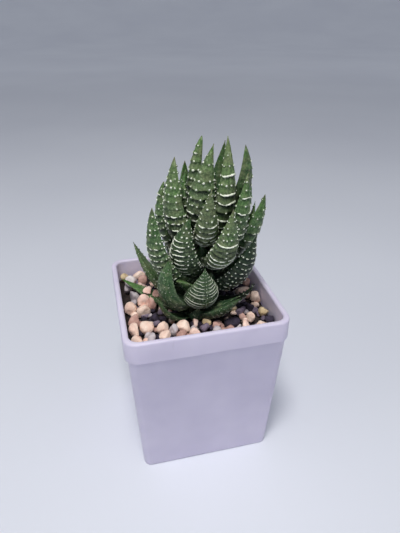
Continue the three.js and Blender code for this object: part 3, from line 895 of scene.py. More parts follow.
def band_rod(leaf, band, draw):
    """The rings of one band's rod, thick in the middle and round at both ends, and each ring's place."""
    row, start, end, depth = band
    half = float(leaf.half(row["place"]))
    turn = np.linspace(0, 1, max(ROD_LEAST_RINGS, int((end - start) * half / ROD_STEP)))
    angle = start + (end - start) * turn
    wander = np.interp(turn, np.linspace(0, 1, WANDER_KNOTS), draw.normal(0, WANDER, WANDER_KNOTS))
    knots = max(3, int((end - start) * half / KNOT_PITCH))
    ragged = np.interp(turn, np.linspace(0, 1, knots), draw.uniform(*KNOT_DEPTHS, knots))
    s = row["place"] + (row_wave(row, angle) + wander + ROD_ABOVE_ROW) / leaf.length
    place = leaf.surface(s, angle)
    along, _, normal = leaf.directions(s, angle)
    blunt = np.clip(1 - np.abs(2 * turn - 1) ** BLUNTNESS, END_SHARE, 1) ** 0.6
    beads = np.sin(turn * (end - start) * half * BEAD_RATE + row["phase"] * 3)
    wide = (depth * blunt * ragged * (1 + BEAD_SHARE * beads))[:, None, None]
    around = np.linspace(0, 2 * np.pi, ROD_SIDES, endpoint=False)[None, :, None]
    rings = (place[:, None] + normal[:, None] * np.sin(around) * wide * RISE_OF_BAND
             + along[:, None] * np.cos(around) * wide)
    return rings, s


def band_rods(leaf, bands, draw):
    """The rods of a leaf's bands, as points and faces, with the share of the length at each point."""
    points, faces, shares = [np.zeros((0, 3))], [], [np.zeros(0)]
    first = 0
    for band in bands:
        rings, s = band_rod(leaf, band, draw)
        points.append(rings.reshape(-1, 3))
        shares.append(np.repeat(s, ROD_SIDES))
        faces += closed_tube(len(rings), ROD_SIDES, first)
        first += len(rings) * ROD_SIDES
    return np.concatenate(points), faces, np.concatenate(shares)


print("rings of a rod:", len(band_rod(longest, longest_bands[0], drawn(0))[0]))

# %% [markdown]
# The skin of a leaf is a deep green, lighter towards the tip and darker at its foot, where painted shade
# makes it almost black. Painted light makes it olive where it swells to a ledge, and painted shade makes it
# dark in the step below. It has faint lines along the leaf and a paler margin. Numbers on each point of the
# mesh tell the finish where it is: along the leaf, around it, in the painted shade below a row, in the
# painted light on the swell above a row, and at the margin. Three more differ from leaf to leaf: a paler
# tone, a cool blue-green, and the painted shade among the other leaves. A painted picture could hold all
# this too, but it blurs up close, and each leaf would need its own.

# %% The finish of the leaf skin
# Darker towards the foot, partly the leaf's own colour and partly painted shade, near black at the stem.
SKIN_GREENS = (
    # share of the length, then the colour there
    (0.0, colour(12, 18, 15)),
    (0.14, colour(36, 56, 40)),
    (0.40, colour(60, 96, 58)),
    (0.75, colour(90, 132, 72)),
    (0.94, colour(86, 124, 60)),
    (1.0, colour(120, 108, 84)),
)


def read_number(tree, name):
    """A number that was set on each point of the mesh."""
    return add_node(tree, "ShaderNodeAttribute", attribute_name=name).outputs["Fac"]


def skin_lines(tree, along, tone):
    """Noise drawn out along the leaf, and different on each leaf."""
    place = add_node(tree, "ShaderNodeCombineXYZ", {
        0: scaled(tree, read_number(tree, "around"), 9.0), 1: scaled(tree, along, 3.0),
        2: scaled(tree, tone, 60.0)}).outputs[0]
    return add_node(tree, "ShaderNodeTexNoise", {
        "Vector": place, "Scale": 1.0, "Detail": 4.0, "Roughness": 0.6}).outputs["Fac"]


def skin_finish():
    material, tree, shader = new_finish(
        "leaf_skin_finish", IOR=1.42, Specular_IOR_Level=0.35, Subsurface_Weight=0.08,
        Subsurface_Radius=(0.5, 1.0, 0.3), Subsurface_Scale=1.0 * MM)
    along, tone = read_number(tree, "along"), read_number(tree, "tone")
    browner = noise(tree, 210, detail=2)
    greener = noise(tree, 170, detail=2, roughness=0.4)
    mottle = noise(tree, 1100, detail=4, roughness=0.6)
    blotches = noise(tree, 420, detail=3)
    specks = noise(tree, 850, detail=3, roughness=0.5)
    # Each layer covers the ones before it by its share.
    layers = (
        (tone, (142, 150, 112)),
        (remap(tree, browner, 0.50, 0.66, 0.0, 0.45), (136, 134, 100)),
        (remap(tree, greener, 0.52, 0.68, 0.0, 0.45), (78, 134, 54)),
        (scaled(tree, read_number(tree, "cool"), 0.50), (40, 66, 54)),
        # Painted light: olive on the swell above each row.
        (scaled(tree, read_number(tree, "swell"), 0.50), (142, 152, 112)),
        # Painted shade: dark in the step below each row.
        (scaled(tree, read_number(tree, "painted_ledge_shade"), 0.92), (14, 25, 20)),
        (scaled(tree, read_number(tree, "margin"), 0.40), (134, 156, 116)),
        (remap(tree, skin_lines(tree, along, tone), 0.42, 0.68, 0.0, 0.40), (30, 50, 34)),
        (remap(tree, mottle, 0.42, 0.62, 0.0, 0.50), (22, 42, 28)),
        (remap(tree, blotches, 0.52, 0.70, 0.0, 0.34), (148, 164, 120)),
        (remap(tree, specks, 0.57, 0.68, 0.0, 0.42), (160, 178, 142)),
        (scaled(tree, read_number(tree, "shade"), 0.70), (16, 30, 24)),
    )
    skin = ramp(tree, along, *SKIN_GREENS)
    for share, tint in layers:
        skin = mix_colours(tree, share, skin, colour(*tint))
    tree.links.new(skin, shader.inputs["Base Color"])
    tree.links.new(remap(tree, mottle, 0.3, 0.7, 0.34, 0.50), shader.inputs["Roughness"])
    add_relief(tree, shader, mix_colours(tree, 0.35, blotches, mottle), 0.55, 0.9)
    return material


leaf_finishes = [skin_finish()]
print("skin finish:", len(leaf_finishes[0].node_tree.nodes), "nodes")

# %% [markdown]
# The tubercles are chalky white and slightly grainy, and duller near the stem, with painted shade where
# they lie among the leaves and with dust. Their number "bright" says how white they are on a leaf, since
# they are nearly green on some. They are a second finish on the same mesh, so a leaf stays one piece.

# %% The finish of the tubercles
def tubercle_finish():
    material, tree, shader = new_finish(
        "tubercle_finish", IOR=1.4, Roughness=0.5, Subsurface_Weight=0.10,
        Subsurface_Radius=(0.6, 0.8, 0.5), Subsurface_Scale=0.4 * MM)
    grain = noise(tree, 1500, detail=3)
    tone = ramp(tree, grain, (0.34, colour(190, 202, 174)), (0.58, colour(242, 246, 232)))
    along = read_number(tree, "along")
    # Duller towards the stem: painted shade and dust.
    shade_and_dust = ramp(tree, along, (0.04, colour(110, 116, 108)), (0.36, colour(255, 255, 255)))
    dulled = mix_colours(tree, 1.0, tone, shade_and_dust, mode="MULTIPLY")
    dim = mix_colours(tree, read_number(tree, "bright"), colour(92, 104, 84), dulled)
    tree.links.new(dim, shader.inputs["Base Color"])
    add_relief(tree, shader, noise(tree, 5000, detail=2), 0.03, 0.5)
    return material


leaf_finishes.append(tubercle_finish())
SKIN, TUBERCLE = 0, 1
print("tubercle finish:", len(leaf_finishes[TUBERCLE].node_tree.nodes), "nodes")

# %% [markdown]
# Each leaf is its own object, so that it can stand for its own CAD node. Its rings are just under a
# millimetre apart, and closer at each ledge, so that the step below a band stays crisp. The mounds and the
# tubercles are added to the same mesh, each with the number of its finish.

# %% The mesh of a leaf
RING_PITCH = 0.85
# Rings at a ledge, in millimetres from its row, and the least distance between two rings.
LEDGE_RINGS = (-0.52, -0.34, -0.17, 0.0, 0.3)
LEAST_RING_GAP = 0.08
BACK_POINTS, FACE_POINTS = 22, 8


def section_angles():
    """Angles round the section, from margin to margin over the back and on along the inner face."""
    back = np.linspace(0, np.pi, BACK_POINTS, endpoint=False)
    face = np.linspace(np.pi, 2 * np.pi, FACE_POINTS, endpoint=False)
    return np.concatenate([back, face])


def ring_places(leaf):
    """Shares of the length at which the rings of the skin lie, none of them too close together."""
    even = np.linspace(0, 1, int(leaf.length / RING_PITCH))
    close = [row["place"] + offset / leaf.length for row in leaf.rows for offset in LEDGE_RINGS]
    places = np.sort(np.concatenate([even, close]))
    places = places[(places >= 0) & (places <= 1)]
    apart = np.concatenate([[True], np.diff(places) > LEAST_RING_GAP / leaf.length])
    return places[apart]


def leaf_mesh(leaf, s, angle, dots, bands, draw):
    """Points, faces and the finish of each face, and the share of the length at each point off the skin."""
    points = [leaf.surface(s, angle).reshape(-1, 3)]
    faces = closed_tube(s.size, angle.size)
    kinds, shares = [SKIN] * len(faces), []
    marks = (
        (SKIN, dot_domes(leaf, dots, MOUND_PROFILE)),
        (TUBERCLE, dot_domes(leaf, dots, DOT_PROFILE)),
        (TUBERCLE, band_rods(leaf, bands, draw)),
    )
    for finish, (mark_points, mark_faces, mark_shares) in marks:
        first = sum(len(part) for part in points)
        faces += [tuple(first + corner for corner in face) for face in mark_faces]
        kinds += [finish] * len(mark_faces)
        points.append(mark_points)
        shares.append(mark_shares)
    return np.concatenate(points), faces, kinds, np.concatenate(shares)


print("points of a section:", len(section_angles()))

# %% [markdown]
# No two leaves have quite the same green. In the photograph the lower leaves look cooler, and light reaches
# the tips and hardly the foot of the plant. So a leaf is cooler the lower it stands, and the tip of a short
# leaf stays as dark as the lower part of a long one. The leaves that are seen best are given one by one.

# %% How the leaves differ in colour
# How the leaves that the photograph shows best differ in colour: cool blue-green, paler tone, shade, and
# how far up the scale of greens the tip reaches.
SEEN_TINTS = {
    "leaf_01": {"cool": 0.15, "tone": 0.2},
    "leaf_03": {"cool": 1.0, "shade": 1.1},
    "leaf_11": {"cool": 1.0, "shade": 1.15},
    "leaf_15": {"cool": 0.8, "shade": 0.35},
    "leaf_19": {"cool": 0.3, "tone": 0.4},
    "leaf_22": {"cool": 0.35},
    "leaf_23": {"cool": 0.0, "tone": 0.0},
    "leaf_26": {"cool": 0.2, "tone": 0.3},
    "leaf_29": {"cool": 0.15, "tone": 0.5},
    "leaf_30": {"cool": 0.0, "shade": 0.6},
    "leaf_31": {"cool": 0.0, "tone": 0.42},
    "leaf_34": {"cool": 0.1, "tone": 0.28},
    "leaf_35": {"cool": 0.3, "shade": 0.5},
    "leaf_36": {"cool": 0.0, "tone": 0.3},
    "leaf_37": {"cool": 0.2, "shade": 0.3},
    "offset_leaf_02": {"cool": 0.0, "tone": 0.0},
    "offset_leaf_03": {"cool": 0.3, "shade": 0.5},
    "offset_leaf_04": {"cool": 0.8, "shade": 0.45},
    "offset_leaf_07": {"cool": 0.9, "shade": 0.1},
    "offset_leaf_08": {"cool": 0.9, "tone": 0.15, "shade": 0.25},
    "offset_leaf_09": {"cool": 0.0, "tone": 0.1, "reach": 1.0},
}
# Leaves on the stem are cool up to the first height, less so further up, and warm from the second.
COOL_HEIGHTS = (78, 106)
PALEST_TONE = 0.25
# A leaf of this length or more has the full scale of greens.
FULL_GREENS_LENGTH = 30


def leaf_numbers(node, leaf, bright, draw):
    """The numbers that are the same all over a leaf, and how far up the scale of greens its tip reaches."""
    tint = SEEN_TINTS.get(node, {})
    cool = tint.get("cool", float(np.interp(leaf.height, COOL_HEIGHTS, (1.0, 0.0))))
    tone = tint.get("tone", draw.uniform(0.0, PALEST_TONE) * (1 - cool))
    numbers = {"tone": tone, "cool": cool, "shade": tint.get("shade", 0.0), "bright": bright}
    return numbers, tint.get("reach", min(1.0, leaf.length / FULL_GREENS_LENGTH))


print("leaves with a colour of their own:", len(SEEN_TINTS))

# %% [markdown]
# The other numbers change from point to point. They come from the same rows that shape the skin, so the
# painted light and the painted shade of the finish meet exactly at the edge of each ledge.

# %% The numbers that the finish reads
# The painted light on a swell fades towards the tip over about this many millimetres.
PAINTED_LIGHT_FADE = 1.0
# The painted shade below a row reaches this share of the pitch, less towards the tip, but never under the
# least share. Then it fades out over so many millimetres.
SHADOW_SHARE, SHADOW_LOSS, LEAST_SHADOW, SHADOW_FADE = 0.52, 0.42, 0.16, 1.1
# The pale margin fades over about this many radians round the section.
MARGIN_FADE = 0.12
# The mounds under the dots get painted light too, by this share.
PAINTED_LIGHT_ON_MOUNDS = 0.3


def skin_numbers(leaf, s, angle, reach):
    """What the finish of the skin needs to know at each of its points."""
    s, angle = np.broadcast_arrays(s, angle)
    on_back = np.clip(np.sin(angle), 0, 1) ** 0.3
    swell, painted_ledge_shade = np.zeros(s.shape), np.zeros(s.shape)
    for row in leaf.rows:
        above = leaf.above_row(row, s, angle)
        near_above = np.exp(-np.clip(above, 0, None) / PAINTED_LIGHT_FADE) * (above >= 0)
        shadow = leaf.pitch * max(LEAST_SHADOW, SHADOW_SHARE - SHADOW_LOSS * row["place"])
        near_below = np.clip(1 - (-above - shadow) / SHADOW_FADE, 0, 1) * (above < 0)
        # The first number is painted light above a row, the second painted shade below it.
        swell = np.maximum(swell, row["ledge"] * near_above)
        painted_ledge_shade = np.maximum(painted_ledge_shade, row["ledge"] * near_below)
    to_margin = np.minimum(np.abs(angle), np.abs(angle - np.pi))
    return {
        "along": s * reach, "around": angle,
        "swell": swell * on_back, "painted_ledge_shade": painted_ledge_shade * on_back, "margin": np.exp(-to_margin / MARGIN_FADE),
    }


def number_points(piece, on_skin, mark_shares, on_leaf):
    """Sets every number on the points of a leaf: first those of the skin, then those of the marks."""
    for name, value in on_skin.items():
        rest = np.full(len(mark_shares), PAINTED_LIGHT_ON_MOUNDS if name == "swell" else 0.0)
        if name == "along":
            rest = mark_shares
        add_attribute(piece, name, np.concatenate([value.reshape(-1), rest]))
    for name, value in on_leaf.items():
        add_attribute(piece, name, np.full(len(piece.data.vertices), value))


example = skin_numbers(longest, ring_places(longest)[:, None], section_angles()[None, :], 1.0)
print("numbers on each point of a leaf's skin:", ", ".join(example))

# %% [markdown]
# With all of that the plant grows leaf by leaf. Each leaf has a seed of its own, so a change to one leaves
# the others as they are.

# %% Grow the leaves
LEAF_SEED, OFFSET_SEED = 40, 140


def grow_leaf(node, stem, numbers, seed, on_offset):
    """One leaf with its tubercles and its finishes, in the place of its CAD node."""
    draw = drawn(seed)
    leaf = Leaf(stem, *numbers)
    pattern = pattern_of(node, leaf, on_offset)
    plan_rows(leaf, pattern, draw)
    dots, bands = plan_marks(leaf, pattern, draw)
    s, angle = ring_places(leaf)[:, None], section_angles()[None, :]
    points, faces, kinds, mark_shares = leaf_mesh(leaf, s, angle, dots, bands, draw)
    piece = make_piece(f"grown_{node}", points, faces, leaf_finishes, kinds)
    on_leaf, reach = leaf_numbers(node, leaf, pattern["bright"], draw)
    number_points(piece, skin_numbers(leaf, s, angle, reach), mark_shares, on_leaf)
    place_on_frame(piece, "leaf_skin", node)
    return piece


leaves = [
    grow_leaf(f"offset_leaf_{number:02d}", OFFSET_STEM, numbers, OFFSET_SEED + number, True)
    for number, numbers in enumerate(OFFSET_LEAVES, 1)
]
leaves += [
    grow_leaf(f"leaf_{number:02d}", MAIN_STEM, numbers, LEAF_SEED + number, False)
    for number, numbers in enumerate(MAIN_LEAVES, 1)
]
print("leaf faces:", sum(len(leaf.data.polygons) for leaf in leaves))

# %% [markdown]
# The gravel is crushed and tumbled stone. The stones in plain sight are listed one by one: each row below is
# one stone of the photograph, placed through its camera. Two more lie on the lowest leaf and hide its
# lower half.

# %% The pebbles in plain sight
SOIL_TOP, BED_TOP = 67.5, 69.6
SEEN_PEBBLES = [
    # place, length along X, width along Y, height above the bed, and kind of stone
    (-29.6, 0.2, 5.5, 6.5, 4.0, "tan"),
    (-23.6, -2.7, 8.0, 6.0, 4.2, "tan"),
    (-22.6, 1.8, 6.2, 4.6, 6.6, "peach"),
    (-19.1, 0.1, 4.4, 4.2, 6.2, "brown"),
    (-26.4, 9.4, 4.6, 6.4, 4.6, "grey"),
    (-26.6, 24.0, 5.5, 5.0, 4.0, "white"),
    (-21.6, 17.5, 5.4, 5.0, 3.8, "peach"),
    (-22.5, 28.6, 7.4, 3.8, 3.8, "tan"),
    (-20.4, 23.6, 5.2, 4.6, 3.6, "brown"),
    (-16.8, 9.4, 4.4, 4.0, 4.0, "peach"),
    (-29.0, 17.4, 4.4, 4.4, 3.2, "grey"),
    (-28.7, -8.6, 7.0, 5.6, 3.4, "brown"),
    (-29.0, -15.9, 4.8, 6.6, 4.0, "tan"),
    (-23.6, -14.8, 6.3, 6.5, 4.2, "tan"),
    (-17.6, -16.6, 5.9, 5.9, 4.2, "tan"),
    (-19.4, -8.9, 5.0, 4.8, 3.2, "lava"),
    (-13.0, -19.6, 4.2, 5.8, 3.8, "grey"),
    (-8.2, -18.6, 6.6, 5.8, 4.2, "tan"),
    (-17.0, -23.3, 5.2, 5.0, 4.0, "tan"),
    (-28.6, -23.6, 5.4, 5.4, 3.6, "tan"),
    (-23.0, -22.4, 4.4, 5.0, 3.2, "grey"),
    (-2.4, -15.8, 3.0, 5.0, 3.6, "peach"),
    (-4.6, -24.0, 4.6, 4.6, 3.6, "peach"),
    (0.6, -21.0, 4.4, 4.4, 3.0, "slate"),
    (4.6, -24.6, 4.6, 4.2, 3.4, "grey"),
    (6.6, -19.8, 4.8, 4.2, 3.0, "brown"),
    (10.2, -25.2, 4.8, 4.4, 3.4, "brown"),
    (13.2, -20.0, 6.8, 5.8, 4.0, "lava"),
    (18.0, -24.0, 4.6, 4.8, 3.8, "peach"),
    (22.6, -18.2, 3.8, 4.6, 4.0, "tan"),
    (19.4, -12.6, 5.0, 4.8, 3.4, "slate"),
    (24.6, -11.4, 5.4, 4.8, 3.6, "lava"),
    (29.6, -4.8, 5.4, 6.4, 4.4, "tan"),
    (25.0, 2.6, 7.6, 5.6, 4.0, "tan"),
    (29.6, 9.3, 4.4, 5.0, 3.4, "brown"),
    (29.6, -15.6, 4.8, 4.4, 3.4, "yellow"),
    (25.0, -24.8, 5.6, 4.6, 3.4, "tan"),
    (29.8, -21.6, 4.2, 4.2, 3.2, "lava"),
]
# The stones on the leaf: the place of each one's middle, its length, width and height, and its kind.
RESTING_PEBBLES = [
    (-20.2, 6.6, 75.4, 5.6, 4.6, 3.8, "peach"),
    (-16.4, 3.9, 74.9, 4.6, 4.2, 3.6, "brown"),
]
print("pebbles placed by hand:", len(SEEN_PEBBLES) + len(RESTING_PEBBLES))

# %% [markdown]
# The rest of the bed follows the same seeded rule as in the CAD model, so both start from the same stones:
# a loose grid, with every place shifted at random, and without those too near a stem or another stone.

# %% The rest of the bed
BED_PITCH_X, BED_PITCH_Y, BED_REACH, BED_JITTER = 6.3, 6.5, 29.4, 0.9
BED_SMALLEST, BED_LARGEST, BED_NARROWEST, BED_HEIGHT_SHARE = 4.6, 6.4, 0.75, 0.6
BED_CROWDING, BED_SEED = 0.42, 7
MAIN_CLEARING, OFFSET_CLEARING = 9.0, 7.0
KINDS = ("tan", "peach", "tan", "grey", "brown", "lava", "white", "slate", "peach", "yellow")


def cad_draws(seed):
    """The CAD model's own seeded draw, so that the unseen pebbles lie where its bed has them."""
    state = seed
    while True:
        state = state * 16807 % 2147483647
        yield state / 2147483647


def away_from_stem(x, y, stem):
    return math.hypot(x - stem["x"], y - stem["y"])


def is_free(x, y, length, stones):
    """Whether a stone of this length would crowd neither a stem nor another stone."""
    if away_from_stem(x, y, MAIN_STEM) <= MAIN_CLEARING:
        return False
    if away_from_stem(x, y, OFFSET_STEM) <= OFFSET_CLEARING:
        return False
    return all(
        math.hypot(other[0] - x, other[1] - y) > BED_CROWDING * (length + (other[2] + other[3]) / 2)
        for other in stones)


def bed_pebbles():
    """The stones of the top layer, as place, length, width, height, turn and kind."""
    draw = cad_draws(BED_SEED)
    stones = [(x, y, length, width, height, (next(draw) - 0.5) / 2, kind)
              for x, y, length, width, height, kind in SEEN_PEBBLES]
    for column in range(int(2 * BED_REACH / BED_PITCH_X) + 1):
        for row in range(int(2 * BED_REACH / BED_PITCH_Y) + 1):
            x = -BED_REACH + column * BED_PITCH_X + (next(draw) - 0.5) * 2 * BED_JITTER
            y = -BED_REACH + row * BED_PITCH_Y + (next(draw) - 0.5) * 2 * BED_JITTER
            length = BED_SMALLEST + next(draw) * (BED_LARGEST - BED_SMALLEST)
            width = length * (BED_NARROWEST + next(draw) * (1 - BED_NARROWEST))
            turn = next(draw) * math.pi
            if is_free(x, y, length, stones):
                kind = KINDS[len(stones) % len(KINDS)]
                stones.append((x, y, length, width, length * BED_HEIGHT_SHARE, turn, kind))
    return stones


upper = bed_pebbles()
print("pebbles in the top layer:", len(upper))

# %% [markdown]
# Between the stones one sees smaller and darker ones, not a smooth floor. A second, lower layer closes
# the gaps. Its kinds are mostly dark, partly as such grit is and partly as painted shade in the gaps. Round
# the plant, where the leaves cast their shade, every stone of this layer is black lava as painted shade.

# %% The lower layer
# Mostly dark kinds: partly the grit's own colour, partly painted shade in the gaps.
LOW_KINDS = ("lava", "brown", "tan", "lava", "slate", "peach", "lava", "grey", "brown")
LOW_PITCH, LOW_JITTER, LOW_COLUMNS, LOW_SEED = 3.9, 1.1, 8, 11
LOW_LENGTHS, LOW_WIDTH_SHARE, LOW_HEIGHT = (3.4, 4.8), 0.85, 2.2
# The least distance from a stem, how much less it may be at the offset, and how far the black stones of
# painted shade reach.
LOW_CLEARING, OFFSET_ALLOWANCE, PAINTED_SHADE_REACH = 6.2, 1.5, 12


def lower_pebbles():
    """The stones of the lower layer, as place, length, width, height, turn and kind."""
    draw = drawn(LOW_SEED)
    stones = []
    half = inner_width(SOIL_TOP) / 2
    for column in range(-LOW_COLUMNS, LOW_COLUMNS + 1):
        for row in range(-LOW_COLUMNS, LOW_COLUMNS + 1):
            x = column * LOW_PITCH + draw.uniform(-LOW_JITTER, LOW_JITTER)
            y = row * LOW_PITCH + draw.uniform(-LOW_JITTER, LOW_JITTER)
            length = draw.uniform(*LOW_LENGTHS)
            kind = LOW_KINDS[int(draw.integers(len(LOW_KINDS)))]
            near = min(away_from_stem(x, y, MAIN_STEM), away_from_stem(x, y, OFFSET_STEM) + OFFSET_ALLOWANCE)
            if near < LOW_CLEARING or max(abs(x), abs(y)) > half - length / 2:
                continue
            # Near the stems every stone is black lava, as painted shade under the leaves.
            if near < PAINTED_SHADE_REACH:
                kind = "lava"
            turn = draw.uniform(0, math.pi)
            stones.append((x, y, length, length * LOW_WIDTH_SHARE, LOW_HEIGHT, turn, kind))
    return stones


lower = lower_pebbles()
print("pebbles in the lower layer:", len(lower))

# %% [markdown]
# A tumbled stone has worn facets with round edges. Its form comes from a fine ball whose points are pulled
# in to a few random planes. Powers of the distances blend the planes, so every edge comes out worn and
# round. A cut with hard planes and a bevel would do too, but it makes uneven faces that shade badly.

# %% The form of a stone
import bmesh

FACETS = 8
EDGE_SHARPNESS = 60
# The distance of a facet from the middle, where the ball's radius is 1.
FACET_DISTANCES = (0.45, 0.90)
# Faint waves keep the facets from being quite flat.
WAVES, WAVE_RATE, WAVE_DEPTH = 4, 3.2, 0.012


def ball(subdivisions):
    """A ball of small triangles with radius 1, as points and faces."""
    mesh = bmesh.new()
    bmesh.ops.create_icosphere(mesh, subdivisions=subdivisions, radius=1)
    points = np.array([vertex.co[:] for vertex in mesh.verts])
    faces = [tuple(vertex.index for vertex in face.verts) for face in mesh.faces]
    mesh.free()
    return points, faces


def worn_stone(directions, draw):
    """Points of a worn stone about one unit in radius."""
    planes = draw.normal(size=(FACETS, 3))
    planes /= np.linalg.norm(planes, axis=1)[:, None]
    distance = draw.uniform(*FACET_DISTANCES, FACETS)
    facing = np.clip(directions @ planes.T, 0.001, None)
    inverse = (facing / distance) ** EDGE_SHARPNESS
    radius = (inverse.sum(1) + 1) ** (-1 / EDGE_SHARPNESS)
    for wave in draw.normal(size=(WAVES, 3)) * WAVE_RATE:
        radius = radius + WAVE_DEPTH * np.sin(directions @ wave + draw.uniform(0, 6))
    return directions * radius[:, None]


def turned(points, spin, tip):
    """Points turned about Z by spin, after they were turned about X by tip."""
    about_x = np.array(Matrix.Rotation(tip, 3, "X"))
    about_z = np.array(Matrix.Rotation(spin, 3, "Z"))
    return points @ (about_z @ about_x).T


FINE_BALL, COARSE_BALL = ball(3), ball(2)
print("faces of a stone:", len(FINE_BALL[1]), "in the top layer and", len(COARSE_BALL[1]), "below it")

# %% [markdown]
# Real stones don't pass through a leaf, they roll off it. A search tree of each leaf's skin tells how far
# the nearest leaf is from a stone, and which way leads off it. Testing every point of every stone against
# every leaf would say more, but takes far longer.

# %% The room between the leaves
from mathutils.bvhtree import BVHTree

ROOM_REACH = 12.0
# A stone needs this share of its width clear of a leaf, and rolls up to so many millimetres to get it.
NEEDED_ROOM, FURTHEST_ROLL = 0.42, 2.4


def leaf_tree(leaf):
    """A search tree of the faces of a leaf's skin."""
    return BVHTree.FromPolygons(
        [vertex.co[:] for vertex in leaf.data.vertices],
        [tuple(face.vertices) for face in leaf.data.polygons if face.material_index == SKIN])


def room_at(x, y, z):
    """How far the nearest leaf is from a point, in millimetres, and the level way that leads off it."""
    point = Vector((x, y, z)) * MM
    found = [tree.find_nearest(point, ROOM_REACH * MM) for tree in leaf_trees]
    found = [hit for hit in found if hit[0] is not None]
    if not found:
        return ROOM_REACH, Vector((0, 0))
    near, normal, _, distance = min(found, key=lambda hit: hit[3])
    outside = (point - near).dot(normal) > 0
    away = (point - near if outside else normal).to_2d()
    if away.length > 0:
        away.normalize()
    return (distance if outside else -distance) / MM, away


leaf_trees = [leaf_tree(leaf) for leaf in leaves]
print("room in the pot's corner:", room_at(-29.0, -29.0, BED_TOP)[0], "mm or more")

# %% [markdown]
# Now every stone is laid: rolled off the leaves, kept inside the pot, and made smaller where it is still
# tight. One that would have to shrink too much is left out, as no stone fits there.

# %% Pile the stones
# The free width between a stone and the pot's wall.
WALL_GAP = 0.4
# A stone's form is taller and a little larger than the room that the bed's rule gives it.
STONE_HEIGHT_SHARE, STONE_GROWTH, FURTHEST_TIP = 1.5, 1.08, 0.4
# Under the first share of the needed room a stone is left out, and none shrinks below the second.
LEAST_ROOM, LEAST_SIZE = 0.45, 0.6
UPPER_SEED, RESTING_SEED, LOWER_SEED = 500, 700, 900
# How far a stone's middle lies above its layer, as a share of its height.
UPPER_LIFT, LOWER_LIFT = 0.25, 0.55
# The lower layer starts this far above the mix.
LOWER_GAP = 0.3


def pile(stones, base, directions, seed, lift):
    """The points of every stone of a layer, sorted by the kind of stone."""
    piles = {}
    limit = inner_width(SOIL_TOP) / 2 - WALL_GAP
    for number, (x, y, length, width, height, turn, kind) in enumerate(stones):
        draw = drawn(seed + number)
        z = base + height * lift
        needed = NEEDED_ROOM * min(length, width)
        room, away = room_at(x, y, z)
        if room < needed:
            x, y = Vector((x, y)) + away * min(needed - room, FURTHEST_ROLL)
        x = float(np.clip(x, -limit + length / 2, limit - length / 2))
        y = float(np.clip(y, -limit + width / 2, limit - width / 2))
        size = np.array([length, width, height * STONE_HEIGHT_SHARE]) / 2
        tight = min(1.0, room_at(x, y, z)[0] / needed)
        if tight < LEAST_ROOM:
            continue
        stone = worn_stone(directions, draw) * STONE_GROWTH
        points = turned(stone, draw.uniform(0, 6), draw.uniform(-FURTHEST_TIP, FURTHEST_TIP))
        points = turned(points * size * max(tight, LEAST_SIZE), turn, 0.0) + np.array([x, y, z])
        piles.setdefault(kind, []).append(points)
    return piles


def add_resting(piles, directions):
    """Adds the stones that lie on a leaf."""
    for number, (x, y, z, length, width, height, kind) in enumerate(RESTING_PEBBLES):
        draw = drawn(RESTING_SEED + number)
        points = worn_stone(directions, draw) * np.array([length, width, height]) / 2
        piles[kind].append(turned(points, draw.uniform(0, 6), 0.0) + np.array([x, y, z]))


upper_piles = pile(upper, BED_TOP, FINE_BALL[0], UPPER_SEED, UPPER_LIFT)
add_resting(upper_piles, FINE_BALL[0])
lower_piles = pile(lower, SOIL_TOP + LOWER_GAP, COARSE_BALL[0], LOWER_SEED, LOWER_LIFT)
for layer, piles in (("top", upper_piles), ("low", lower_piles)):
    print(layer, "stones:", {kind: len(piles[kind]) for kind in sorted(piles)})

# %% [markdown]
# The stones are of several kinds: warm tan and peach chips, pale quartz, greys, brown grit and almost
# black lava full of pores. Each has a base tone with paler patches, specks of a third colour, and fine
# pores and chipped faces as relief. One function makes all the finishes, and its numbers tell them apart.

# %% The finishes of the pebbles
STONE_TONES = {
    # base, patch and speck colours, then roughness, and the depth of the pores
    "tan": (colour(240, 208, 191), colour(248, 228, 213), colour(176, 132, 116), 0.75, 0.12),
    "peach": (colour(243, 203, 188), colour(251, 226, 214), colour(178, 122, 110), 0.75, 0.16),
    "white": (colour(220, 212, 212), colour(246, 240, 238), colour(160, 144, 142), 0.65, 0.10),
    "grey": (colour(176, 166, 172), colour(208, 200, 204), colour(116, 104, 112), 0.75, 0.12),
    "brown": (colour(178, 138, 128), colour(212, 174, 162), colour(100, 70, 68), 0.80, 0.18),
    "yellow": (colour(200, 176, 136), colour(226, 208, 170), colour(132, 108, 84), 0.75, 0.14),
    "slate": (colour(104, 92, 110), colour(140, 126, 144), colour(48, 42, 56), 0.80, 0.22),
    "lava": (colour(34, 29, 42), colour(62, 54, 74), colour(12, 10, 16), 0.90, 0.45),
}
# The depth of the chipped facets on a stone, in millimetres, and how many of them there are to a metre.
CHIP_DEPTH, CHIP_SCALE = 0.55, 420.0
PORE_SCALE = 1300.0


def cells(tree, scale):
    """The distance to the middle of each of many small cells, so many to a metre."""
    place = add_node(tree, "ShaderNodeTexCoord").outputs["Object"]
    return add_node(tree, "ShaderNodeTexVoronoi", {"Vector": place, "Scale": scale}).outputs["Distance"]


def stone_finish(kind):
    base, patch, speck, roughness, pore_depth = STONE_TONES[kind]
    material, tree, shader = new_finish(f"pebble_{kind}_finish", Roughness=roughness)
    tone = mix_colours(tree, remap(tree, noise(tree, 230, detail=3), 0.38, 0.66), base, patch)
    grain = noise(tree, 1900, detail=4, roughness=0.7)
    flecked = mix_colours(tree, remap(tree, grain, 0.58, 0.72, 0.0, 0.7), tone, speck)
    dimmed = mix_colours(tree, read_number(tree, "dim"), flecked, speck)
    tree.links.new(dimmed, shader.inputs["Base Color"])
    rough = scaled(tree, cells(tree, PORE_SCALE), grain)
    chips = cells(tree, CHIP_SCALE)
    chipped = add_node(
        tree, "ShaderNodeMath", {0: chips, 1: CHIP_DEPTH / pore_depth, 2: rough}, operation="MULTIPLY_ADD")
    add_relief(tree, shader, chipped.outputs[0], pore_depth, 0.9)
    return material


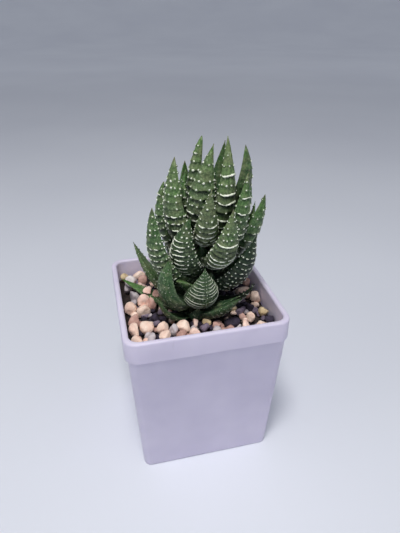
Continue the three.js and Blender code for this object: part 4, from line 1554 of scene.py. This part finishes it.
stone_finishes = {kind: stone_finish(kind) for kind in STONE_TONES}
print("kinds of stone:", ", ".join(stone_finishes))

# %% [markdown]
# The stones of one kind and layer become one object, so there are few pieces. No two real stones are quite
# alike in tone: a number on each stone lets it lean a little towards the colour of its specks.

# %% Lay the gravel
# The greatest share of the speck colour that a whole stone takes on.
STONE_DIM = 0.09


def lay_gravel(piles, ball_faces, layer):
    """One object for each kind of stone in a layer."""
    laid = []
    for kind in sorted(piles):
        stones = piles[kind]
        size = len(stones[0])
        faces = repeated(ball_faces, len(stones), size)
        piece = make_piece(
            f"{layer}_pebbles_{kind}", np.concatenate(stones), faces, [stone_finishes[kind]])
        dim = drawn(len(stones)).uniform(0.0, STONE_DIM, len(stones))
        add_attribute(piece, "dim", np.repeat(dim, size))
        place_on_frame(piece, "pebbles", "gravel")
        laid.append(piece)
    return laid


gravel = lay_gravel(upper_piles, FINE_BALL[1], "top") + lay_gravel(lower_piles, COARSE_BALL[1], "low")
print("gravel faces:", sum(len(piece.data.polygons) for piece in gravel))

# %% [markdown]
# The potting mix shows only between the stones and through the drainage holes, so its CAD solid has the
# right shape already. It only needs a dark crumbly finish. The stems are hidden by their leaves for the
# most part, and keep their CAD solids too, with the dull green and brown of old leaf scars.

# %% The finishes of the mix and the stems
def soil_finish():
    material, tree, shader = new_finish("potting_mix_finish", Roughness=0.95)
    crumbs = noise(tree, 700, detail=6, roughness=0.7)
    tone = ramp(
        tree, crumbs, (0.35, colour(20, 16, 18)), (0.55, colour(46, 36, 34)), (0.75, colour(92, 72, 60)))
    tree.links.new(tone, shader.inputs["Base Color"])
    add_relief(tree, shader, crumbs, 0.9, 1.0)
    return material


def stem_finish():
    material, tree, shader = new_finish("stem_bark_finish", Roughness=0.8)
    scars = noise(tree, 320, detail=4, stretch=(1, 1, 3.0))
    tone = ramp(
        tree, scars, (0.35, colour(34, 40, 26)), (0.6, colour(52, 58, 34)), (0.75, colour(84, 74, 48)))
    tree.links.new(tone, shader.inputs["Base Color"])
    add_relief(tree, shader, scars, 0.4, 0.8)
    return material


bark = stem_finish()
for node, finish in (("soil", soil_finish()), ("stem", bark), ("offset_stem", bark)):
    set_finish(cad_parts[node], finish)
    print(node, "has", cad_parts[node].data.materials[0].name)

# %% [markdown]
# The room of the photograph is left out, and a plain pale floor takes the shadow. It is a wide disc whose
# far edge curls up, so that no horizon shows from any side. The far floor lies beyond the reach of the
# lamps, so it glows a little by itself to stay pale.

# %% The floor
FLOOR_RADIUS, CURL = 2500.0, 2600.0
FLOOR_SIDES, CURL_STEPS, CURL_STEP_DEGREES = 96, 15, 6
# The glow starts at the first distance from the pot, in metres, and is full at the second.
GLOW_START, GLOW_FULL, GLOW_STRENGTH = 0.35, 1.6, 0.20


def floor_finish():
    material, tree, shader = new_finish("floor_finish", Roughness=0.7)
    tone = ramp(tree, noise(tree, 3, detail=2), (0.3, colour(214, 218, 228)), (0.7, colour(220, 224, 233)))
    tree.links.new(tone, shader.inputs["Base Color"])
    place = add_node(tree, "ShaderNodeTexCoord").outputs["Object"]
    distance = add_node(tree, "ShaderNodeVectorMath", {0: place}, operation="LENGTH").outputs["Value"]
    far_glow = remap(tree, distance, GLOW_START, GLOW_FULL, 0.0, GLOW_STRENGTH)
    tree.links.new(tone, shader.inputs["Emission Color"])
    tree.links.new(far_glow, shader.inputs["Emission Strength"])
    return material


def sweep():
    """Points and faces of the floor, from a profile turned about Z."""
    profile = [(0.01, 0), (FLOOR_RADIUS, 0)]
    for step in range(1, CURL_STEPS + 1):
        angle = math.radians(step * CURL_STEP_DEGREES)
        profile.append((FLOOR_RADIUS + CURL * math.sin(angle), CURL * (1 - math.cos(angle))))
    points = []
    for radius, z in profile:
        for k in range(FLOOR_SIDES):
            angle = 2 * math.pi * k / FLOOR_SIDES
            points.append((radius * math.cos(angle), radius * math.sin(angle), z))
    return points, rings_to_faces(len(profile), FLOOR_SIDES)


floor = make_piece("studio_floor", *sweep(), [floor_finish()])
print("floor:", len(floor.data.polygons), "faces")

# %% [markdown]
# Soft studio light stands in for the daylight. A broad key light comes from high above, in front and a
# little to the left, as the shadows in the photograph tell. A weaker fill from the right opens them, and
# a low light from the left reaches the side of the pot. The rest is an even glow from all round.

# %% The light
AIM_HEIGHT = 70
GLOW_COLOUR, GLOW_LEVEL = colour(214, 222, 240), 0.18


def soft_light(name, place_mm, power, width_mm, tint):
    """A square area light that faces the plant."""
    lamp = bpy.data.lights.new(name, "AREA")
    lamp.energy = power
    lamp.size = width_mm * MM
    lamp.color = tint
    light = bpy.data.objects.new(name, lamp)
    bpy.context.scene.collection.objects.link(light)
    light.location = Vector(place_mm) * MM
    aim = Vector((0, 0, AIM_HEIGHT * MM)) - light.location
    light.rotation_euler = aim.to_track_quat("-Z", "Y").to_euler()
    return light


lights = [
    soft_light("key_light", (-130, -300, 930), 7.4, 250, (1.0, 0.98, 0.95)),
    soft_light("fill_light", (600, -500, 600), 0.9, 700, (0.95, 0.95, 1.0)),
    soft_light("side_light", (-640, -60, 360), 0.5, 350, (1.0, 0.98, 0.96)),
]
world = bpy.data.worlds.new("studio_glow")
world.use_nodes = True
glow = world.node_tree.nodes["Background"]
glow.inputs["Color"].default_value = GLOW_COLOUR
glow.inputs["Strength"].default_value = GLOW_LEVEL
bpy.context.scene.world = world
bpy.context.scene.view_settings.view_transform = "Standard"
print("lights:", {light.name: round(light.data.energy, 2) for light in lights})
